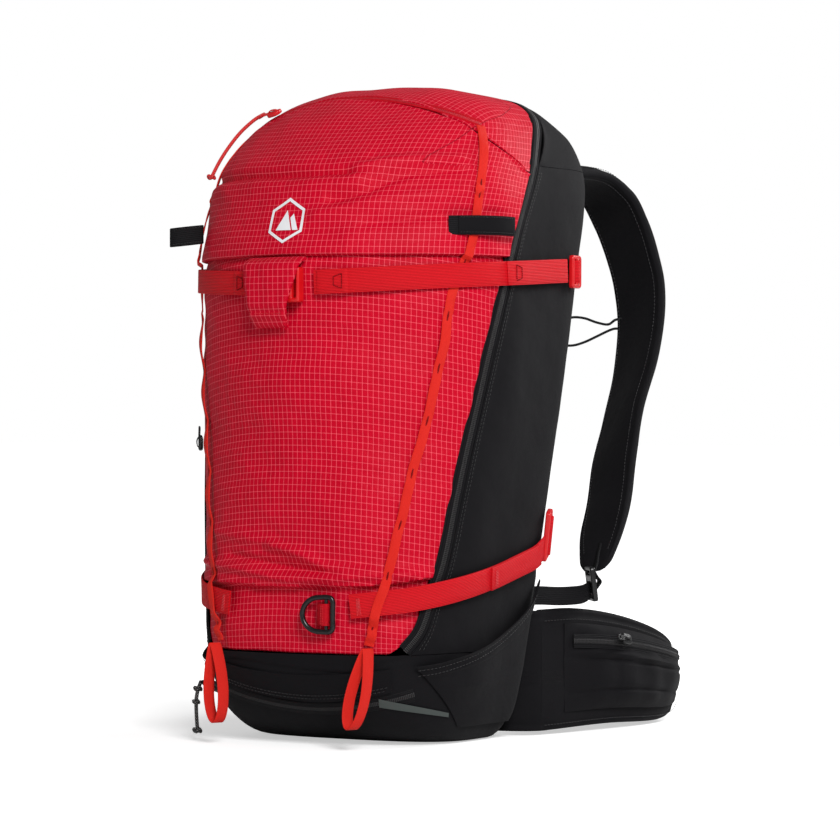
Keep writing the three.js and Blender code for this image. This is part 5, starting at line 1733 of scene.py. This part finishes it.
def hip_pocket():
    """The zipped pocket on each wing, creased by its load."""
    us, vs = graded(0, 1, int(170 / STEP)), graded(0, 1, int(70 / STEP))
    v, u = np.meshgrid(vs, us, indexing="ij")
    s, h, full, rise = pocket_place(u, v)
    off = 7.6 + rise + waves(u * 170, v * 70, 95, 45, 1.8) * full
    off = off + 2.2 * ridge(v - 0.68 + 0.06 * u, 0.025) * full - 2.2 * ridge(v - 0.61 + 0.06 * u, 0.02) * full
    off = off - 3.4 * ridge(v - 0.2 - 0.05 * np.sin(np.pi * u), 0.028) * full
    cloth = grid_shell("hip_pocket_cloth_right", wing_point(s, h, off), 1.3, NYLON,
                       np.stack([u * 170, v * 72], -1))
    place_pair(cloth, "belt", "black_nylon", "hip_pocket")
    s, h, _, rise = pocket_place(np.linspace(0.05, 0.93, 240), 0.8)
    line = wing_point(s, h, 8.2 + rise)
    n = unit(wing_point(s, 0.72, 10.0) - wing_point(s, 0.72, 0.0) + UP * 0.35)
    across = unit(np.cross(n, along_of(line)))
    place_pair(web("hip_zip_tape_right", line + n * 0.3, across, 12, 1.0, BLACK_WEB), "belt", "zip")
    place_pair(coil_rows("hip_zip_coil_right", line + n * 0.8, n, 4.2, COIL), "belt", "zip")


def belt_front():
    """The belt's webbing and both halves of its buckle."""
    line = spline([[139, 302, 42], [130, 306, 42], [112, 313, 41], [92, 317, 40], [70, 318, 40],
                   [46, 318, 40], [41, 318.5, 40]], 70)
    place_pair(web("belt_web_body_right", line, UP, 25, 1.9, BLACK_WEB), "belt", "black_webbing", "belt_web")
    outline = rounded([[10, -17], [40, -17], [45, -14], [45, 14], [40, 17], [10, 17]], 3)
    socket = plate("belt_socket_body", outline, [opening(38, -12.4, 41.4, 12.4)], 10, 2.0, BLACK_PLASTIC,
                   (0, 318, 40), (1, 0, 0), UP, bend=lambda px, py: -0.8 * (py / 17) ** 2)
    place(socket, "belt_right", "black_plastic", "belt_buckle_socket")
    # the plug's lower half, from its web bar to the tip of its prong and back to its middle
    half = [[-45, -14], [-40, -17], [-24, -17], [-22, -15], [2, -13], [8, -9], [8, -5], [0, -8], [-20, -9]]
    outline = rounded(half + [[x, -y] for x, y in half[::-1]], 1.4, 3)
    plug = plate("belt_plug_body", outline, [opening(-41.4, -12.4, -38, 12.4)], 6, 1.3,
                 BLACK_PLASTIC, (0, 318, 40), (1, 0, 0), UP)
    place(plug, "belt_left", "black_plastic", "belt_buckle_plug")


hip_wing()
hip_pocket()
belt_front()


# ---- zip sliders and the top pocket's zip -------------------------------------------------------
SLIDER = [[7, -3], [7, 3], [4, 5], [-4, 5], [-6, 2.6], [-6, -2.6], [-4, -5], [4, -5]]


def slider(name, start, stop, n, material, slot, pair=None):
    """A zip slider that runs from start to stop: its body, tab and bridge. A pair has a twin at the left."""
    along = unit(stop - start)
    across = np.cross(n, along)
    body = plate(f"{name}_body", rounded(SLIDER, 1.6), [], 3.4, 1.0, material, start + n * 1.6, along, across,
                 bend=lambda px, py: -0.5 * (py / 5) ** 2)
    tab = plate(f"{name}_tab", rounded([[-5, -2.3], [-5, 2.3], [-14, 2.6], [-14, -2.6]], 1.4),
                [opening(-12.8, -1.1, -10.4, 1.1, 0.5)], 1.5, 0.5, material, start + n * 2.6, along,
                across, bend=lambda px, py: 0.03 * (px + 5))
    arch = ((4.6, 2.8), (3.0, 4.2), (-1.5, 4.6), (-4.6, 3.2), (-5.2, 2.2))
    bridge_line = spline([start + along * x + n * y for x, y in arch], 20)
    bridge = web(f"{name}_bridge", bridge_line, across, 2.4, 0.9, material)
    for piece in (body, tab, bridge):
        if pair:
            place_pair(piece, pair, slot, pair if piece is body else None)
        else:
            place(piece, name, slot, *([name] if piece is body else []))


def arch_point(angle, off):
    return skin(arch_height(angle), angle, off)


def sliders():
    slider("top_slider", arch_point(ARCH_REST, 3.4), arch_point(-22.0, 3.4),
           outward(arch_height(ARCH_REST), ARCH_REST), RED_PLASTIC, "red_plastic")
    slider("base_slider", skin(base_zip_height(-38.0), -38.0, 4.4), skin(base_zip_height(-15.0), -15.0, 4.4),
           outward(base_zip_height(-38.0), -38.0), BLACK_PLASTIC, "black_plastic")
    slider("main_slider", skin(250.0, -zip_angle(250.0), 3.6), skin(160.0, -zip_angle(160.0), 3.6),
           outward(250.0, -zip_angle(250.0)), BLACK_PLASTIC, "black_plastic")
    h = 0.2 + 0.66 * 0.86
    slider("hip_slider_right", wing_point(0.24 + 0.7 * 0.22, h, 24.5), wing_point(0.24 + 0.7 * 0.8, h, 24.5),
           unit((0.95, 0, 0.3)), BLACK_PLASTIC, "black_plastic", "hip_slider")


def arch_zip():
    """The top pocket's zip and the welts along it."""
    angle = np.linspace(-72, 72, 700)
    z = arch_height(angle)
    line, n = skin(z, angle, -0.5), outward(z, angle)
    across = unit(np.cross(n, along_of(line)))
    place(web("arch_zip_tape", line - n * 0.9, across, 8, 0.8, RED_WEB_PLAIN), "bag", "ripstop")
    place(coil_rows("arch_zip_coil", line, n, 3.6, RED_COIL), "bag", "ripstop")
    for side, name in ((-1, "low"), (1, "high")):
        flank = line + across * side * 3.2 + n * 0.5
        place(web(f"arch_welt_{name}", flank, across, 2.4, 1.4, RED_WEB_PLAIN, belly=0.25), "bag", "ripstop")


sliders()
arch_zip()
